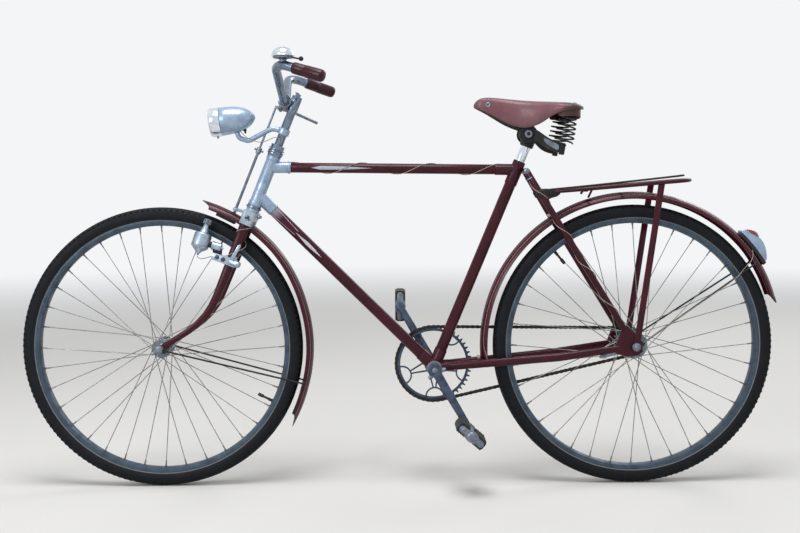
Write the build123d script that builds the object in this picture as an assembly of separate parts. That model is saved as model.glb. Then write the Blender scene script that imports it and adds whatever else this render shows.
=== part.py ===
from build123d import *
import math
import os

# A gentleman's touring bicycle: lugged steel frame, rod brake, coaster hub, mudguards, lamps and rack.
# Millimetres. +X points to the rear, +Y to the right-hand side, +Z up.
# Everything is measured from the middle of the rear axle and moved to the rider's seat at the end.

# Wheels
WHEELBASE = 1200.0
TYRE_OUTER = 357.5
TYRE_HALF_WIDTH = 20.0
TYRE_CROWN_HALF = 9.0
TYRE_MIDDLE = 340.0
RIM_INNER = 310.0
RIM_FLANGE = 323.0
RIM_FLOOR = 317.5
RIM_HALF_WIDTH = 16.0
RIM_WALL = 1.8
SEAT_GAP = 0.3
SPOKES = 36
SPOKES_CROSSED = 3
SPOKE_RADIUS = 1.1
SPOKE_SPREAD = 2.5
SPOKE_HOLE_INSET = 4.0

# Hubs and axles
FRONT_FLANGE_Y = 31.0
REAR_FLANGE_Y = 29.0
FRONT_FLANGE_RADIUS = 24.0
REAR_FLANGE_RADIUS = 34.0
FLANGE_THICK = 3.0
FRONT_BARREL = 13.0
REAR_BARREL = 25.0
FRONT_HUB_HALF = 36.0
REAR_HUB_HALF = 41.0
AXLE_RADIUS = 4.75
CONE_RADIUS = 8.0
SPROCKET_SEAT_RADIUS = 7.5
SHAFT_GAP = 0.08
FRONT_DROPOUT_Y = 48.0
REAR_DROPOUT_Y = 55.0
DROPOUT_THICK = 5.0
NUT_RADIUS = 9.5
NUT_HEIGHT = 8.0
AXLE_STICKS_OUT = 3.0
BRAKE_ARM_Y = 47.0
BRAKE_ARM_THICK = 3.0
BRAKE_ARM_EYE = 13.0
BRAKE_ARM_END = (-88.0, -25.5)
BRAKE_ARM_WIDTH = 20.0
BRAKE_ARM_END_WIDTH = 10.0
BRAKE_CLIP_BEFORE = 4.0
BRAKE_CLIP_BEHIND = 12.0
BRAKE_CLIP_THICK = 5.0
BRAKE_CLIP_OUTER = 63.0

# Frame
HEAD_ANGLE = 67.7
SEAT_ANGLE = 67.2
BRACKET_DROP = 54.5
HEAD_AXIS_BACK = 90.3
HEAD_TUBE_LOW = 361.0
HEAD_TUBE_HIGH = 484.0
HEAD_TUBE_RADIUS = 16.0
HEAD_TUBE_WALL = 1.6
HEAD_RING_HEIGHT = 10.0
MAIN_TUBE_RADIUS = 14.3
TOP_TUBE_RADIUS = 12.7
LUG_WALL = 1.6
LUG_REACH = 54.0
TOP_TUBE_HEAD_Z = 456.5
TOP_TUBE_SEAT_Z = 447.5
DOWN_TUBE_HEAD_Z = 385.3
SEAT_LUG_TOP = 22.0
SEAT_LUG_DROP = 40.0
SEAT_BOLT_BACK = 24.0
SEAT_BOLT_DROP = 4.0
SEAT_EAR_RADIUS = 8.0
SEAT_EAR_HALF_WIDTH = 16.0
SEAT_POST_RADIUS = 12.5
SEAT_POST_TOP = 520.0
SEAT_POST_DEPTH = 55.0
SEAT_BORE_SPARE = 5.0
SHELL_RADIUS = 20.0
SHELL_BORE = 17.0
SHELL_HALF_WIDTH = 34.0
SHELL_LUG_REACH = 48.0
CUP_RADIUS = 19.0
CUP_LIP = 5.0
CUP_DEPTH = 12.0
CUT_HALF = 90.0
HEADSET_CUP_HEIGHT = 9.0
HEADSET_CUP_RADIUS = 20.0
HEADSET_CUP_STEP = 2.0

# Stays of the frame
OVAL_STEPS = 6
STAY_ROOT_Y = 22.0
STAY_LUG_START = 8.0
STAY_LUG_REACH = 38.0
STAY_BEND_X = -192.0
STAY_BEND_Z = -26.6
STAY_BEND_Y = 46.5
STAY_TIP_X = -40.0
STAY_TIP_Z = -4.0
STAY_HEIGHT = 21.0
STAY_WIDTH = 15.0
STAY_TIP_HEIGHT = 17.0
STAY_TIP_WIDTH = 10.0
SEAT_STAY_RADIUS = 8.0
SEAT_STAY_WAIST_X = -207.0
SEAT_STAY_WAIST_Z = 333.0
SEAT_STAY_WAIST_Y = 43.0
SEAT_STAY_TIP_X = -31.0
SEAT_STAY_TIP_Z = 46.0
BRIDGE_RADIUS = 6.0
UPPER_BRIDGE_ANGLE = 122.1
LOWER_BRIDGE_ANGLE = 185.3
UPPER_BRIDGE_HALF = 46.0
LOWER_BRIDGE_HALF = 34.0
DROPOUT_OUTLINE = [
    (-52, 6),
    (-38, 44),
    (-26, 54),
    (-12, 44),
    (14, 14),
    (16, -12),
    (4, -22),
    (-22, -24),
    (-52, -16),
]

# Chain drive
CHAIN_PITCH = 12.7
CHAIN_LINKS = 114
RING_TEETH = 48
SPROCKET_TEETH = 18
CHAIN_LINE = 46.0
RING_THICK = 3.0
ROLLER_RADIUS = 3.9
TOOTH_GAP = 0.35
TOOTH_RISE = 3.2
TOOTH_TIP = 1.0
GAP_MOUTH_RISE = 0.5
GAP_MOUTH = 1.02
GAP_FLOOR = 0.71
GAP_DEPTH = 0.98
ROLLER_SIDES = 4
PLATE_HALF_HEIGHT = 4.0
PLATE_INNER_Y = 2.2
PLATE_THICK = 1.6
RING_ARMS = 5
RING_FIRST_ARM = 200.5
RING_HUB_RADIUS = 24.0
RING_RIM_DEPTH = 11.0
RING_BOW_RADIUS = 25.0
RING_LEG_WIDTH = 4.0
RING_LEG_FOOT_TURN = 34.0
RING_LEG_HEAD_TURN = 3.0

# Cranks and pedals
CRANK_LENGTH = 170.0
CRANK_ANGLE = -60.0
CRANK_AXLE_RADIUS = 8.0
CRANK_INNER_Y = 56.0
CRANK_THICK = 14.0
CRANK_EYE_RADIUS = 17.0
CRANK_END_RADIUS = 12.0
CRANK_ROOT_WIDTH = 23.0
CRANK_TIP_WIDTH = 17.0
PEDAL_INNER_Y = 80.0
PEDAL_WIDTH = 92.0
PEDAL_LENGTH = 80.0
PEDAL_HEIGHT = 27.0
PEDAL_SPINDLE = 5.0
PEDAL_BARREL = 9.5
PEDAL_END_WALL = 6.0
PEDAL_PLATE = 3.0
PEDAL_PLATE_WIDTH = 16.0
PEDAL_BLOCK_START = 11.0
PEDAL_ROUNDING = 6.0
LEFT_PEDAL_TILT = -41.0
RIGHT_PEDAL_TILT = 90.0

# Fork
BLADE_TOP_Y = 39.0
BLADE_TIP_Y = 50.5
BLADE_TOP_Z = 313.0
BLADE_BEND = 190.0
BLADE_TIP_ANGLE = 32.6
BLADE_DEPTH = 28.0
BLADE_WIDTH = 19.0
BLADE_TIP_DEPTH = 14.0
BLADE_TIP_WIDTH = 11.0
BLADE_END_BACK = 17.0
BLADE_ARC_STEPS = 4
FORK_END_RADIUS = 11.0
FORK_END_ROOT = (14.0, 9.0)
FORK_END_ROOT_WIDTH = 14.0
FORK_END_WIDTH = 18.0
STEERER_RADIUS = 12.7
CROWN_LOW = 326.0
CROWN_HIGH = 345.0
CROWN_HALF_WIDTH = 50.0
CROWN_DEPTH = 36.0
CROWN_CORNER = 9.0
CROWN_SOCKET_WALL = 3.0
RACE_RADIUS = 17.0

# Steering above the head tube
# Columns: height above the cup, radius below that height
HEADSET_RINGS = [(6.0, 20.0), (8.0, 17.0), (11.0, 20.5), (21.0, 17.5)]
STEM_RADIUS = 11.1
STEM_RISE = 12.0
STEM_BOLT_RADIUS = 7.0
STEM_BOLT_HEIGHT = 7.0
STEM_SLEEVE_RADIUS = 13.4
STEM_SLEEVE_DROP = 28.0
STEM_EYE_RADIUS = 16.5
STEM_EYE_HALF_WIDTH = 15.0
BAR_RADIUS = 11.1
BAR_FORWARD = 25.0
BAR_RISE = 110.0
BAR_STRAIGHT = 32.0
# From the bar's middle: back, up, to the side
BAR_CORNER = (-7.5, 79.0, 182.5)
BAR_END = (108.0, 41.5, 236.0)
BAR_BEND = 45.0
BAR_SMALL_BEND = 30.0
GRIP_RADIUS = 15.0
GRIP_LENGTH = 84.0
GRIP_END = 5.0
FIT_GAP = 0.1
BELL_BASE = (13.5, 88.0, -190.0)
BELL_RADIUS = 28.5
BELL_CASE = 5.0
BELL_CASE_INSET = 4.0
BELL_POST_RADIUS = 9.0
BELL_POST_LENGTH = 22.0
# Columns: rise above the case, share of the bell's radius
BELL_DOME = [(0.0, 1.0), (9.0, 0.95), (17.0, 0.75), (22.0, 0.47), (24.0, 0.21)]
BELL_LEVER_START = (18.0, 2.0)
BELL_LEVER_END = (46.0, -4.0)
BELL_LEVER_HALF_WIDTH = 6.0
BELL_LEVER_THICK = 4.0

# Rod brake
ROD_FORWARD = 41.0
ROD_TOP_DROP = 10.0
ROD_JOINT = 495.0
ROD_NUT_RADIUS = 6.5
ROD_NUT_LOW = 4.0
ROD_NUT_HIGH = 12.0
ROD_WING_HALF = 12.0
ROD_WING_RADIUS = 2.5
ROD_WING_RISE = 5.0
ROD_HOOK_WIDTH = 6.0
ROD_HOOK_Y = 3.0
ROD_HOOK_GAP = 1.1
GUIDE_RISE = 2.0
GUIDE_RADIUS = 7.0
GUIDE_HEIGHT = 8.0
GUIDE_ARM_HALF = 5.0
GUIDE_ARM_ROOT = 10.0
ROD_FOOT = 330.0
ROD_UPPER_RADIUS = 2.8
ROD_LOWER_RADIUS = 3.6
SHOE_ANGLE = 63.3
SHOE_LOW = 363.5
SHOE_HIGH = 378.5
SHOE_HALF_LENGTH = 26.0
SHOE_HALF_WIDTH = 13.0
LEVER_RADIUS = 4.0
# From the bar's middle: back, up, to the side
LEVER_ROUTE = [(-12.0, -22.0, 4.0), (-23.0, -12.0, 80.0), (10.0, -19.0, 145.0), (67.0, -43.0, 205.0)]
LEVER_BENDS = [40.0, 60.0]
LEVER_CLIP_RADIUS = 14.0
LEVER_CLIP_Y = (18.0, 28.0)
LEVER_HANGER_WIDTH = 9.0
LEVER_HANGER_TOP = 8.0
LEVER_HANGER_END = (-15.0, -21.0)

# Mudguards
GUARD_OUTER = 386.0
GUARD_DEPTH = 19.0
GUARD_HALF_WIDTH = 25.0
GUARD_THICK = 1.6
# Columns: drop from the crown, half width there
GUARD_SECTION = [(0.0, 6.0), (3.5, 15.0), (10.0, 22.0)]
GUARD_SLOT_SPARE = 3.0
FRONT_GUARD_TAIL = -32.5
FRONT_GUARD_TIP = 73.2
REAR_GUARD_TAIL = 15.5
REAR_GUARD_ROOT = 185.6
GUARD_WAIST = 20.0
GUARD_WAIST_TOP = -22.0
GUARD_STAY_RADIUS = 2.3
FRONT_STAY_ANGLE = -14.5
REAR_STAY_ANGLE = 33.9
GUARD_STAY_RISE = 4.0
FRONT_STAY_FOOT = (13.0, -3.0)
REAR_STAY_FOOT = (14.0, 9.0)

# Rack
RACK_RAIL_RADIUS = 5.0
RACK_BAR_RADIUS = 3.5
RACK_HALF_WIDTH = 62.0
RACK_FRONT_HALF_WIDTH = 30.0
RACK_FRONT_X = -219.0
RACK_REAR_X = 137.8
RACK_FRONT_Z = 390.3
RACK_REAR_Z = 418.6
RACK_WIDE_X = -140.0
RACK_CROSS_BARS = [-120.0, -30.0, 60.0]
RACK_INNER_RAIL_Y = 22.0
RACK_BENDS = [80.0, 40.0, 40.0, 80.0]
RACK_LEG_X = 60.0
RACK_LEG_WIDTH = 16.0
RACK_LEG_THICK = 3.0
RACK_LEG_EYE = 10.0
CLIP_WIRE_RADIUS = 2.5
CLIP_COIL_RADIUS = 8.0
CLIP_HALF_WIDTH = 14.0
CLIP_REAR_X = 128.0
CLIP_RISE = 6.5
CLIP_REAR_RISE = 13.0
CLIP_BEND = 12.0

# Lamps and dynamo
LAMP_RADIUS = 36.5
LAMP_LENGTH = 117.0
LAMP_NOD = 7.7
# Columns: distance from the tip, radius
LAMP_PROFILE = [(0.0, 4.0), (6.0, 13.0), (18.0, 23.0), (36.0, 31.0), (60.0, 35.0)]
BEZEL_START = 88.0
BEZEL_LIP = 2.0
BEZEL_ROUNDING = 10.0
BEZEL_FRONT_RADIUS = 33.0
LENS_RADIUS = 31.0
LENS_SEAT = 14.0
LENS_FACE_RADIUS = 20.0
LAMP_CLAMP_RISE = 34.0
LAMP_CLAMP_RADIUS = 15.0
LAMP_CLAMP_HALF = 8.0
# From the clamp on the stem: back, up
LAMP_TIP = (-72.0, 38.0)
LAMP_ARM_ROUTE = [(-121.0, 9.0), (-113.0, -15.0), (-89.0, -23.0), (-31.0, 8.0), (-6.0, 4.0)]
LAMP_ARM_BENDS = [14.0, 20.0, 20.0]
LAMP_ARM_RADIUS = 6.5
ROD_HOLE_SPARE = 1.0
REAR_LAMP_ANGLE = 38.8
REAR_LAMP_HALF_WIDTH = 20.0
# Columns: place along the guard, distance from it
REAR_LAMP_OUTLINE = [(-50, 0.5), (50, 0.5), (50, 12), (44, 30), (2, 30), (-42, 15), (-50, 12)]
REAR_LENS_PLACE = (22.0, 30.0)
REAR_LENS_PROFILE = [(0.0, 17.0), (5.0, 17.0), (12.0, 12.0), (15.0, 5.0)]
# From the front axle: back, up, to the side
DYNAMO_TOP = (122.6, 328.6, -37.0)
DYNAMO_LOW = (104.5, 237.0, -55.0)
DYNAMO_DRUM = [(134.0, 268.0, -50.0), (162.0, 261.0, -50.0)]
DYNAMO_DRUM_RADIUS = 9.0
DYNAMO_POST = [(152.0, 264.0, -52.0), (152.0, 228.0, -56.5)]
DYNAMO_POST_RADIUS = 5.0
DYNAMO_ARM = [(136.0, 236.0), (198.0, 216.0)]
DYNAMO_ARM_WIDTH = 15.0
DYNAMO_ARM_END_WIDTH = 12.0
DYNAMO_ARM_Y = (-59.0, -54.0)
DYNAMO_CLIP = [(176.0, 214.0), (188.0, 210.0), (196.0, 234.0), (184.0, 238.0)]
DYNAMO_CLIP_INNER_Y = -45.0
# Columns: distance from the roller's end, radius
DYNAMO_PROFILE = [
    (0.0, 8.0),
    (2.0, 10.0),
    (12.0, 10.0),
    (13.0, 7.0),
    (31.0, 9.0),
    (34.0, 20.0),
    (38.0, 21.5),
    (68.0, 21.5),
    (76.0, 14.0),
    (82.0, 6.0),
    (92.0, 4.0),
]

# Saddle: the rider's seat on its top is the origin of the finished model
RIDER_X = -240.0
RIDER_Z = 618.3
LEATHER_THICK = 5.0
SADDLE_WIRE_RADIUS = 3.5
SADDLE_BAR_RADIUS = 5.0
NOSE_BAR_HALF = 17.5
CANTLE_BAR_HALF = 97.0
SADDLE_CLAMP = (-269.7, 536.0)
SADDLE_NOSE = (-386.0, 604.0)
SADDLE_CANTLE = (-166.0, 590.0)
SADDLE_CLAMP_RADIUS = 12.0
SADDLE_CLAMP_HALF = 32.0
POST_CLAMP_RADIUS = 16.0
POST_CLAMP_LOW = 16.0
POST_CLAMP_HIGH = 10.0
RAIL_CLAMP_Y = 20.0
RAIL_NOSE_Y = 9.0
LOWER_WIRE_CLAMP_Y = 28.0
SPRING_X = -188.0
SPRING_Y = 60.0
SPRING_LOW = 515.0
SPRING_FOOT = 15.0
SPRING_HIGH = 572.0
SPRING_RADIUS = 22.0
SPRING_WAIST = 16.0
SPRING_TURNS = 5
SPRING_SIDES = 12
SPRING_CAP_RADIUS = 12.0
SPRING_CAP_HEIGHT = 8.0
SADDLE_SHOULDER = 0.22
SADDLE_CROWN = 0.72
# Columns: place along the bicycle, half width, height of the top, height of the skirt's edge
SADDLE_STATIONS = [
    (-403.0, 12.0, 617.0, 602.0),
    (-390.0, 20.0, 628.0, 598.6),
    (-366.0, 23.0, 629.6, 585.0),
    (-341.0, 25.0, 627.5, 572.0),
    (-313.0, 30.0, 624.5, 558.0),
    (-275.0, 42.0, 621.0, 552.0),
    (-240.0, 62.0, 618.3, 562.0),
    (-205.0, 88.0, 616.0, 582.0),
    (-160.0, 100.0, 612.0, 586.0),
    (-131.0, 90.0, 604.0, 584.0),
]

HEAD_UP = Vector(math.cos(math.radians(HEAD_ANGLE)), 0, math.sin(math.radians(HEAD_ANGLE)))
HEAD_FORWARD = Vector(-HEAD_UP.Z, 0, HEAD_UP.X)
SEAT_UP = Vector(math.cos(math.radians(SEAT_ANGLE)), 0, math.sin(math.radians(SEAT_ANGLE)))
UP = Vector(0, 0, 1)
REAR = Vector(0, 0, 0)
FRONT = Vector(-WHEELBASE, 0, 0)
RING_PITCH_RADIUS = CHAIN_PITCH / (2 * math.sin(math.pi / RING_TEETH))
SPROCKET_PITCH_RADIUS = CHAIN_PITCH / (2 * math.sin(math.pi / SPROCKET_TEETH))


def chain_wraps(distance):
    """Lean of the chain's runs and links on ring, sprocket and one run, for one centre distance."""
    lean = math.asin((RING_PITCH_RADIUS - SPROCKET_PITCH_RADIUS) / distance)
    on_ring = (math.pi + 2 * lean) * RING_TEETH / (2 * math.pi)
    on_sprocket = (math.pi - 2 * lean) * SPROCKET_TEETH / (2 * math.pi)
    return lean, on_ring, on_sprocket, distance * math.cos(lean) / CHAIN_PITCH


def drive_distance():
    """Distance from crank axle to rear axle at which a whole number of links closes the chain."""
    low, high = 300.0, 800.0
    for _ in range(60):
        middle = (low + high) / 2
        lean, on_ring, on_sprocket, run = chain_wraps(middle)
        if on_ring + on_sprocket + 2 * run < CHAIN_LINKS:
            low = middle
        else:
            high = middle
    return (low + high) / 2


DRIVE_DISTANCE = drive_distance()
BRACKET = Vector(-math.sqrt(DRIVE_DISTANCE ** 2 - BRACKET_DROP ** 2), 0, -BRACKET_DROP)


def at(x, z, y=0.0):
    """Point from its place along the bicycle, its height and its side."""
    return Vector(x, y, z)


def from_front(x, z, y=0.0):
    """Point from its distance behind the front axle, its height above it and its side."""
    return FRONT + Vector(x, y, z)


def polar(radius, degrees, y=0.0):
    """Point on a wheel from its radius and its angle above straight back."""
    turn = math.radians(degrees)
    return Vector(radius * math.cos(turn), y, radius * math.sin(turn))


def on_head_axis(z):
    """Point at a height on the steering axis."""
    return Vector(FRONT.X + HEAD_AXIS_BACK + z / math.tan(math.radians(HEAD_ANGLE)), 0, z)


def before_head_axis(z, forward):
    """Point at a height on the line that runs beside the steering axis, forward of it."""
    return on_head_axis(z - forward * HEAD_UP.X) + HEAD_FORWARD * forward


def on_seat_axis(z):
    """Point at a height on the line of the seat tube."""
    return Vector(BRACKET.X + (z - BRACKET.Z) / math.tan(math.radians(SEAT_ANGLE)), 0, z)


HEAD_TOP_JOINT = on_head_axis(TOP_TUBE_HEAD_Z)
HEAD_DOWN_JOINT = on_head_axis(DOWN_TUBE_HEAD_Z)
SEAT_JOINT = on_seat_axis(TOP_TUBE_SEAT_Z)
SEAT_BOLT = SEAT_JOINT + Vector(SEAT_BOLT_BACK, 0, -SEAT_BOLT_DROP)
NUT_SEAT = on_head_axis(HEAD_TUBE_HIGH) + HEAD_UP * (HEADSET_CUP_HEIGHT + SEAT_GAP)
STEERER_TOP = NUT_SEAT + HEAD_UP * HEADSET_RINGS[-1][0]
BAR_CENTRE = before_head_axis(STEERER_TOP.Z + BAR_RISE, BAR_FORWARD)
LAMP_CLAMP = on_head_axis(STEERER_TOP.Z + LAMP_CLAMP_RISE)


def from_bar(x, z, y=0.0):
    """Point from its distance behind the handlebar's middle, its height above it and its side."""
    return BAR_CENTRE + Vector(x, y, z)


def rod(start, end, radius):
    """Round bar between two points."""
    axis = end - start
    return Solid.make_cylinder(radius, axis.length, Plane(origin=start, z_dir=axis))


def prism(start, end, radius, count=6):
    """Bar with a few flat sides between two points."""
    axis = end - start
    face = Plane(origin=start, z_dir=axis) * RegularPolygon(radius, count)
    return extrude(face, amount=axis.length).solid()


def cross_rod(centre, radius, low, high):
    """Round bar that lies across the bicycle."""
    return rod(Vector(centre.X, low, centre.Z), Vector(centre.X, high, centre.Z), radius)


def bore(centre, radius):
    """Round hole that goes across the whole bicycle."""
    return cross_rod(centre, radius, -CUT_HALF, CUT_HALF)


def bent_rod(points, bends, radius):
    """Round bar along straight runs joined by arcs."""
    path = FilletPolyline(*points, radius=bends)
    face = Plane(origin=path @ 0, z_dir=path % 0) * Circle(radius)
    return sweep(face, path=path).solid()


def jointed_rod(points, radius):
    """Round bar along two straight runs that meet at a mitred joint."""
    start, bend, end = points
    first, second = (bend - start).normalized(), (end - bend).normalized()
    mitre = Plane(origin=bend, z_dir=first + second)
    over = radius * 2
    near = split(rod(start, bend + first * over, radius), bisect_by=mitre, keep=Keep.BOTTOM)
    far = split(rod(bend - second * over, end, radius), bisect_by=mitre, keep=Keep.TOP)
    return fused(largest(near), largest(far))


def oval_outline(depth, width):
    """Oval of straight sides and two rounded ends, each end in a few short lines."""
    corners = []
    for end in (1, -1):
        for step in range(OVAL_STEPS + 1):
            turn = math.radians(-90 + 180 * step / OVAL_STEPS)
            along = (depth - width) / 2 + math.cos(turn) * width / 2
            corners.append((end * along, end * math.sin(turn) * width / 2))
    return corners


def oval_rod(stations):
    """Oval tube through stations of centre, direction, depth along the bicycle and width across."""
    sections = []
    for centre, direction, depth, width in stations:
        frame = Plane(origin=centre, x_dir=Vector(0, 1, 0).cross(direction), z_dir=direction)
        sections.append(frame * make_face(Polyline(*oval_outline(depth, width), close=True)))
    return loft(sections, ruled=True).solid()


def turned_across(outline, centre):
    """Piece turned about a cross axis, from a closed outline of radius and side."""
    return revolve(make_face(Polyline(*outline, close=True)), axis=Axis.Y).solid().moved(Location(centre))


def turned_along(start, direction, outline):
    """Piece turned about its own axis, from an outline of distance along it and radius."""
    points = [(radius, 0, along) for along, radius in outline]
    points = [(0, 0, outline[0][0])] + points + [(0, 0, outline[-1][0])]
    body = revolve(make_face(Polyline(*points, close=True)), axis=Axis.Z).solid()
    return body.moved(Plane(origin=start, z_dir=direction).location)


def plate(points, low, high):
    """Plate that stands along the bicycle, from its outline and its two sides."""
    face = make_face(Polyline(*[(x, low, z) for x, z in points], close=True))
    return extrude(face, amount=high - low, dir=(0, 1, 0)).solid()


def strip(start, end, width, low, high, end_width=None):
    """Straight strip of a plate between two points, narrower at its end where that is given."""
    along = Vector(end.X - start.X, 0, end.Z - start.Z).normalized()
    across = Vector(-along.Z, 0, along.X)
    last = width if end_width is None else end_width
    corners = [start + across * (width / 2), end + across * (last / 2)]
    corners += [end - across * (last / 2), start - across * (width / 2)]
    return plate([(p.X, p.Z) for p in corners], low, high)


def fused(first, *others):
    """Pieces that meet, joined."""
    joined = first.fuse(*others)
    return joined.solid() if len(joined.solids()) == 1 else Compound(children=joined.solids())


def largest(shape):
    """The biggest solid that is left after a cut."""
    return max(shape.solids(), key=lambda solid: solid.volume)


def layer(near, far, side):
    """Lower and upper side of a layer that lies left or right of the middle."""
    return sorted((side * near, side * far))


# Main frame


def lug(joint, towards, radius, reach=LUG_REACH):
    """Socket of a lug, a little fatter than the tube that meets it."""
    along = (towards - joint).normalized()
    return rod(joint, joint + along * reach, radius + LUG_WALL)


def head_tube():
    low, high = on_head_axis(HEAD_TUBE_LOW), on_head_axis(HEAD_TUBE_HIGH)
    ring = HEAD_TUBE_RADIUS + LUG_WALL
    body = fused(
        rod(low, high, HEAD_TUBE_RADIUS),
        rod(low, low + HEAD_UP * HEAD_RING_HEIGHT, ring),
        rod(high - HEAD_UP * HEAD_RING_HEIGHT, high, ring),
        lug(HEAD_TOP_JOINT, SEAT_JOINT, TOP_TUBE_RADIUS),
        lug(HEAD_DOWN_JOINT, BRACKET, MAIN_TUBE_RADIUS),
    )
    return largest(body - rod(low - HEAD_UP, high + HEAD_UP, HEAD_TUBE_RADIUS - HEAD_TUBE_WALL))


def headset_cups():
    pieces = []
    lower, upper = (HEAD_TUBE_LOW, HEAD_UP * -1), (HEAD_TUBE_HIGH, HEAD_UP)
    for height, outward in (lower, upper):
        end = on_head_axis(height)
        middle, last = end + outward * (HEADSET_CUP_HEIGHT / 2), end + outward * HEADSET_CUP_HEIGHT
        neck = rod(end, middle, HEADSET_CUP_RADIUS - HEADSET_CUP_STEP)
        cup = fused(neck, rod(middle, last, HEADSET_CUP_RADIUS))
        pieces.append(largest(cup - rod(end - outward, last + outward, STEERER_RADIUS + SHAFT_GAP)))
    return pieces


def tube_between(start, end, radius, cut_start, cut_end):
    """Frame tube between two joints, shortened at both ends to meet the lugs."""
    along = (end - start).normalized()
    return rod(start + along * cut_start, end - along * cut_end, radius)


def top_tube():
    return tube_between(HEAD_TOP_JOINT, SEAT_JOINT, TOP_TUBE_RADIUS, LUG_REACH, LUG_REACH)


def down_tube():
    return tube_between(HEAD_DOWN_JOINT, BRACKET, MAIN_TUBE_RADIUS, LUG_REACH, SHELL_LUG_REACH)


def seat_tube():
    """Seat tube with its lug, which takes the top tube and the seat bolt's ears."""
    top = SEAT_JOINT + SEAT_UP * SEAT_LUG_TOP
    sleeve = MAIN_TUBE_RADIUS + LUG_WALL
    body = fused(
        rod(BRACKET + SEAT_UP * SHELL_LUG_REACH, top, MAIN_TUBE_RADIUS),
        rod(SEAT_JOINT - SEAT_UP * SEAT_LUG_DROP, top, sleeve),
        lug(SEAT_JOINT, HEAD_TOP_JOINT, TOP_TUBE_RADIUS),
        cross_rod(SEAT_BOLT, SEAT_EAR_RADIUS, -SEAT_EAR_HALF_WIDTH, SEAT_EAR_HALF_WIDTH),
    )
    bore_low = SEAT_JOINT - SEAT_UP * (SEAT_POST_DEPTH + SEAT_BORE_SPARE)
    return largest(body - rod(bore_low, top + SEAT_UP, SEAT_POST_RADIUS + FIT_GAP))


def seat_post():
    return rod(SEAT_JOINT - SEAT_UP * SEAT_POST_DEPTH, on_seat_axis(SEAT_POST_TOP), SEAT_POST_RADIUS)


def stay_line(side):
    """Root, bend and tip of a chain stay's middle line."""
    root = at(BRACKET.X, BRACKET.Z, side * STAY_ROOT_Y)
    bend = at(STAY_BEND_X, STAY_BEND_Z, side * STAY_BEND_Y)
    tip = at(STAY_TIP_X, STAY_TIP_Z, side * (REAR_DROPOUT_Y + DROPOUT_THICK / 2))
    return root, bend, tip


def bottom_bracket():
    """Shell with the sockets of the seat tube, the down tube and both chain stays."""
    body = fused(
        cross_rod(BRACKET, SHELL_RADIUS, -SHELL_HALF_WIDTH, SHELL_HALF_WIDTH),
        lug(BRACKET, SEAT_JOINT, MAIN_TUBE_RADIUS, SHELL_LUG_REACH),
        lug(BRACKET, HEAD_DOWN_JOINT, MAIN_TUBE_RADIUS, SHELL_LUG_REACH),
    )
    height, width = STAY_HEIGHT + LUG_WALL, STAY_WIDTH + LUG_WALL
    for side in (-1, 1):
        root, bend, _ = stay_line(side)
        along = (bend - root).normalized()
        ends = [root + along * STAY_LUG_START, root + along * STAY_LUG_REACH]
        body = fused(body, oval_rod([(end, along, height, width) for end in ends]))
    return largest(body - bore(BRACKET, SHELL_BORE))


def bracket_cups():
    """Threaded cups that close the shell's ends round the crank axle."""
    pieces = []
    for side in (-1, 1):
        inner = side * (SHELL_HALF_WIDTH - CUP_DEPTH)
        edge, outer = side * SHELL_HALF_WIDTH, side * (SHELL_HALF_WIDTH + CUP_LIP)
        threaded = cross_rod(BRACKET, SHELL_BORE - FIT_GAP, inner, outer)
        cup = fused(threaded, cross_rod(BRACKET, CUP_RADIUS, edge, outer))
        pieces.append(largest(cup - bore(BRACKET, CRANK_AXLE_RADIUS + SHAFT_GAP)))
    return pieces


def chain_stays():
    """Chain stays, each with the rear plate that carries the axle."""
    pieces = []
    for side in (-1, 1):
        root, bend, tip = stay_line(side)
        along, rear = (bend - root).normalized(), (tip - bend).normalized()
        stay = oval_rod([
            (root + along * STAY_LUG_REACH, along, STAY_HEIGHT, STAY_WIDTH),
            (bend, (along + rear).normalized(), STAY_HEIGHT, STAY_WIDTH),
            (tip, rear, STAY_TIP_HEIGHT, STAY_TIP_WIDTH),
        ])
        low, high = layer(REAR_DROPOUT_Y, REAR_DROPOUT_Y + DROPOUT_THICK, side)
        body = fused(stay, plate(DROPOUT_OUTLINE, low, high))
        pieces.append(largest(body - bore(REAR, AXLE_RADIUS + SEAT_GAP)))
    return pieces


def seat_stays():
    """Seat stays from the seat bolt down to the rear plates, cut where the plates enter them."""
    pieces = []
    plates = chain_stays()
    for index, side in enumerate((-1, 1)):
        top = SEAT_BOLT + Vector(0, side * (SEAT_EAR_HALF_WIDTH + SEAT_STAY_RADIUS + SEAT_GAP), 0)
        waist = at(SEAT_STAY_WAIST_X, SEAT_STAY_WAIST_Z, side * SEAT_STAY_WAIST_Y)
        tip = at(SEAT_STAY_TIP_X, SEAT_STAY_TIP_Z, side * (REAR_DROPOUT_Y + DROPOUT_THICK / 2))
        pieces.append(largest(jointed_rod([top, waist, tip], SEAT_STAY_RADIUS) - plates[index]))
    return pieces


def stay_bridges():
    """Cross tubes between the stays, which carry the rear mudguard."""
    reach = GUARD_OUTER + SEAT_GAP + BRIDGE_RADIUS
    upper = UPPER_BRIDGE_ANGLE, UPPER_BRIDGE_HALF, seat_stays()
    lower = LOWER_BRIDGE_ANGLE, LOWER_BRIDGE_HALF, chain_stays()
    pieces = []
    for angle, half, stays in (upper, lower):
        bridge = cross_rod(polar(reach, angle), BRIDGE_RADIUS, -half, half)
        pieces.append(largest(bridge - stays[0] - stays[1]))
    return pieces


# Wheels


def mirrored(half):
    """Closed outline from its half on the right-hand side."""
    return half + [(radius, -y) for radius, y in reversed(half)]


def tyre(centre):
    """Tyre: crown, shoulders and side walls that narrow to the rim's edges."""
    bead = RIM_HALF_WIDTH - RIM_WALL / 2
    half = [(TYRE_OUTER, TYRE_CROWN_HALF), (TYRE_MIDDLE, TYRE_HALF_WIDTH), (RIM_FLANGE + SEAT_GAP, bead)]
    return turned_across(mirrored(half), centre)


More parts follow.
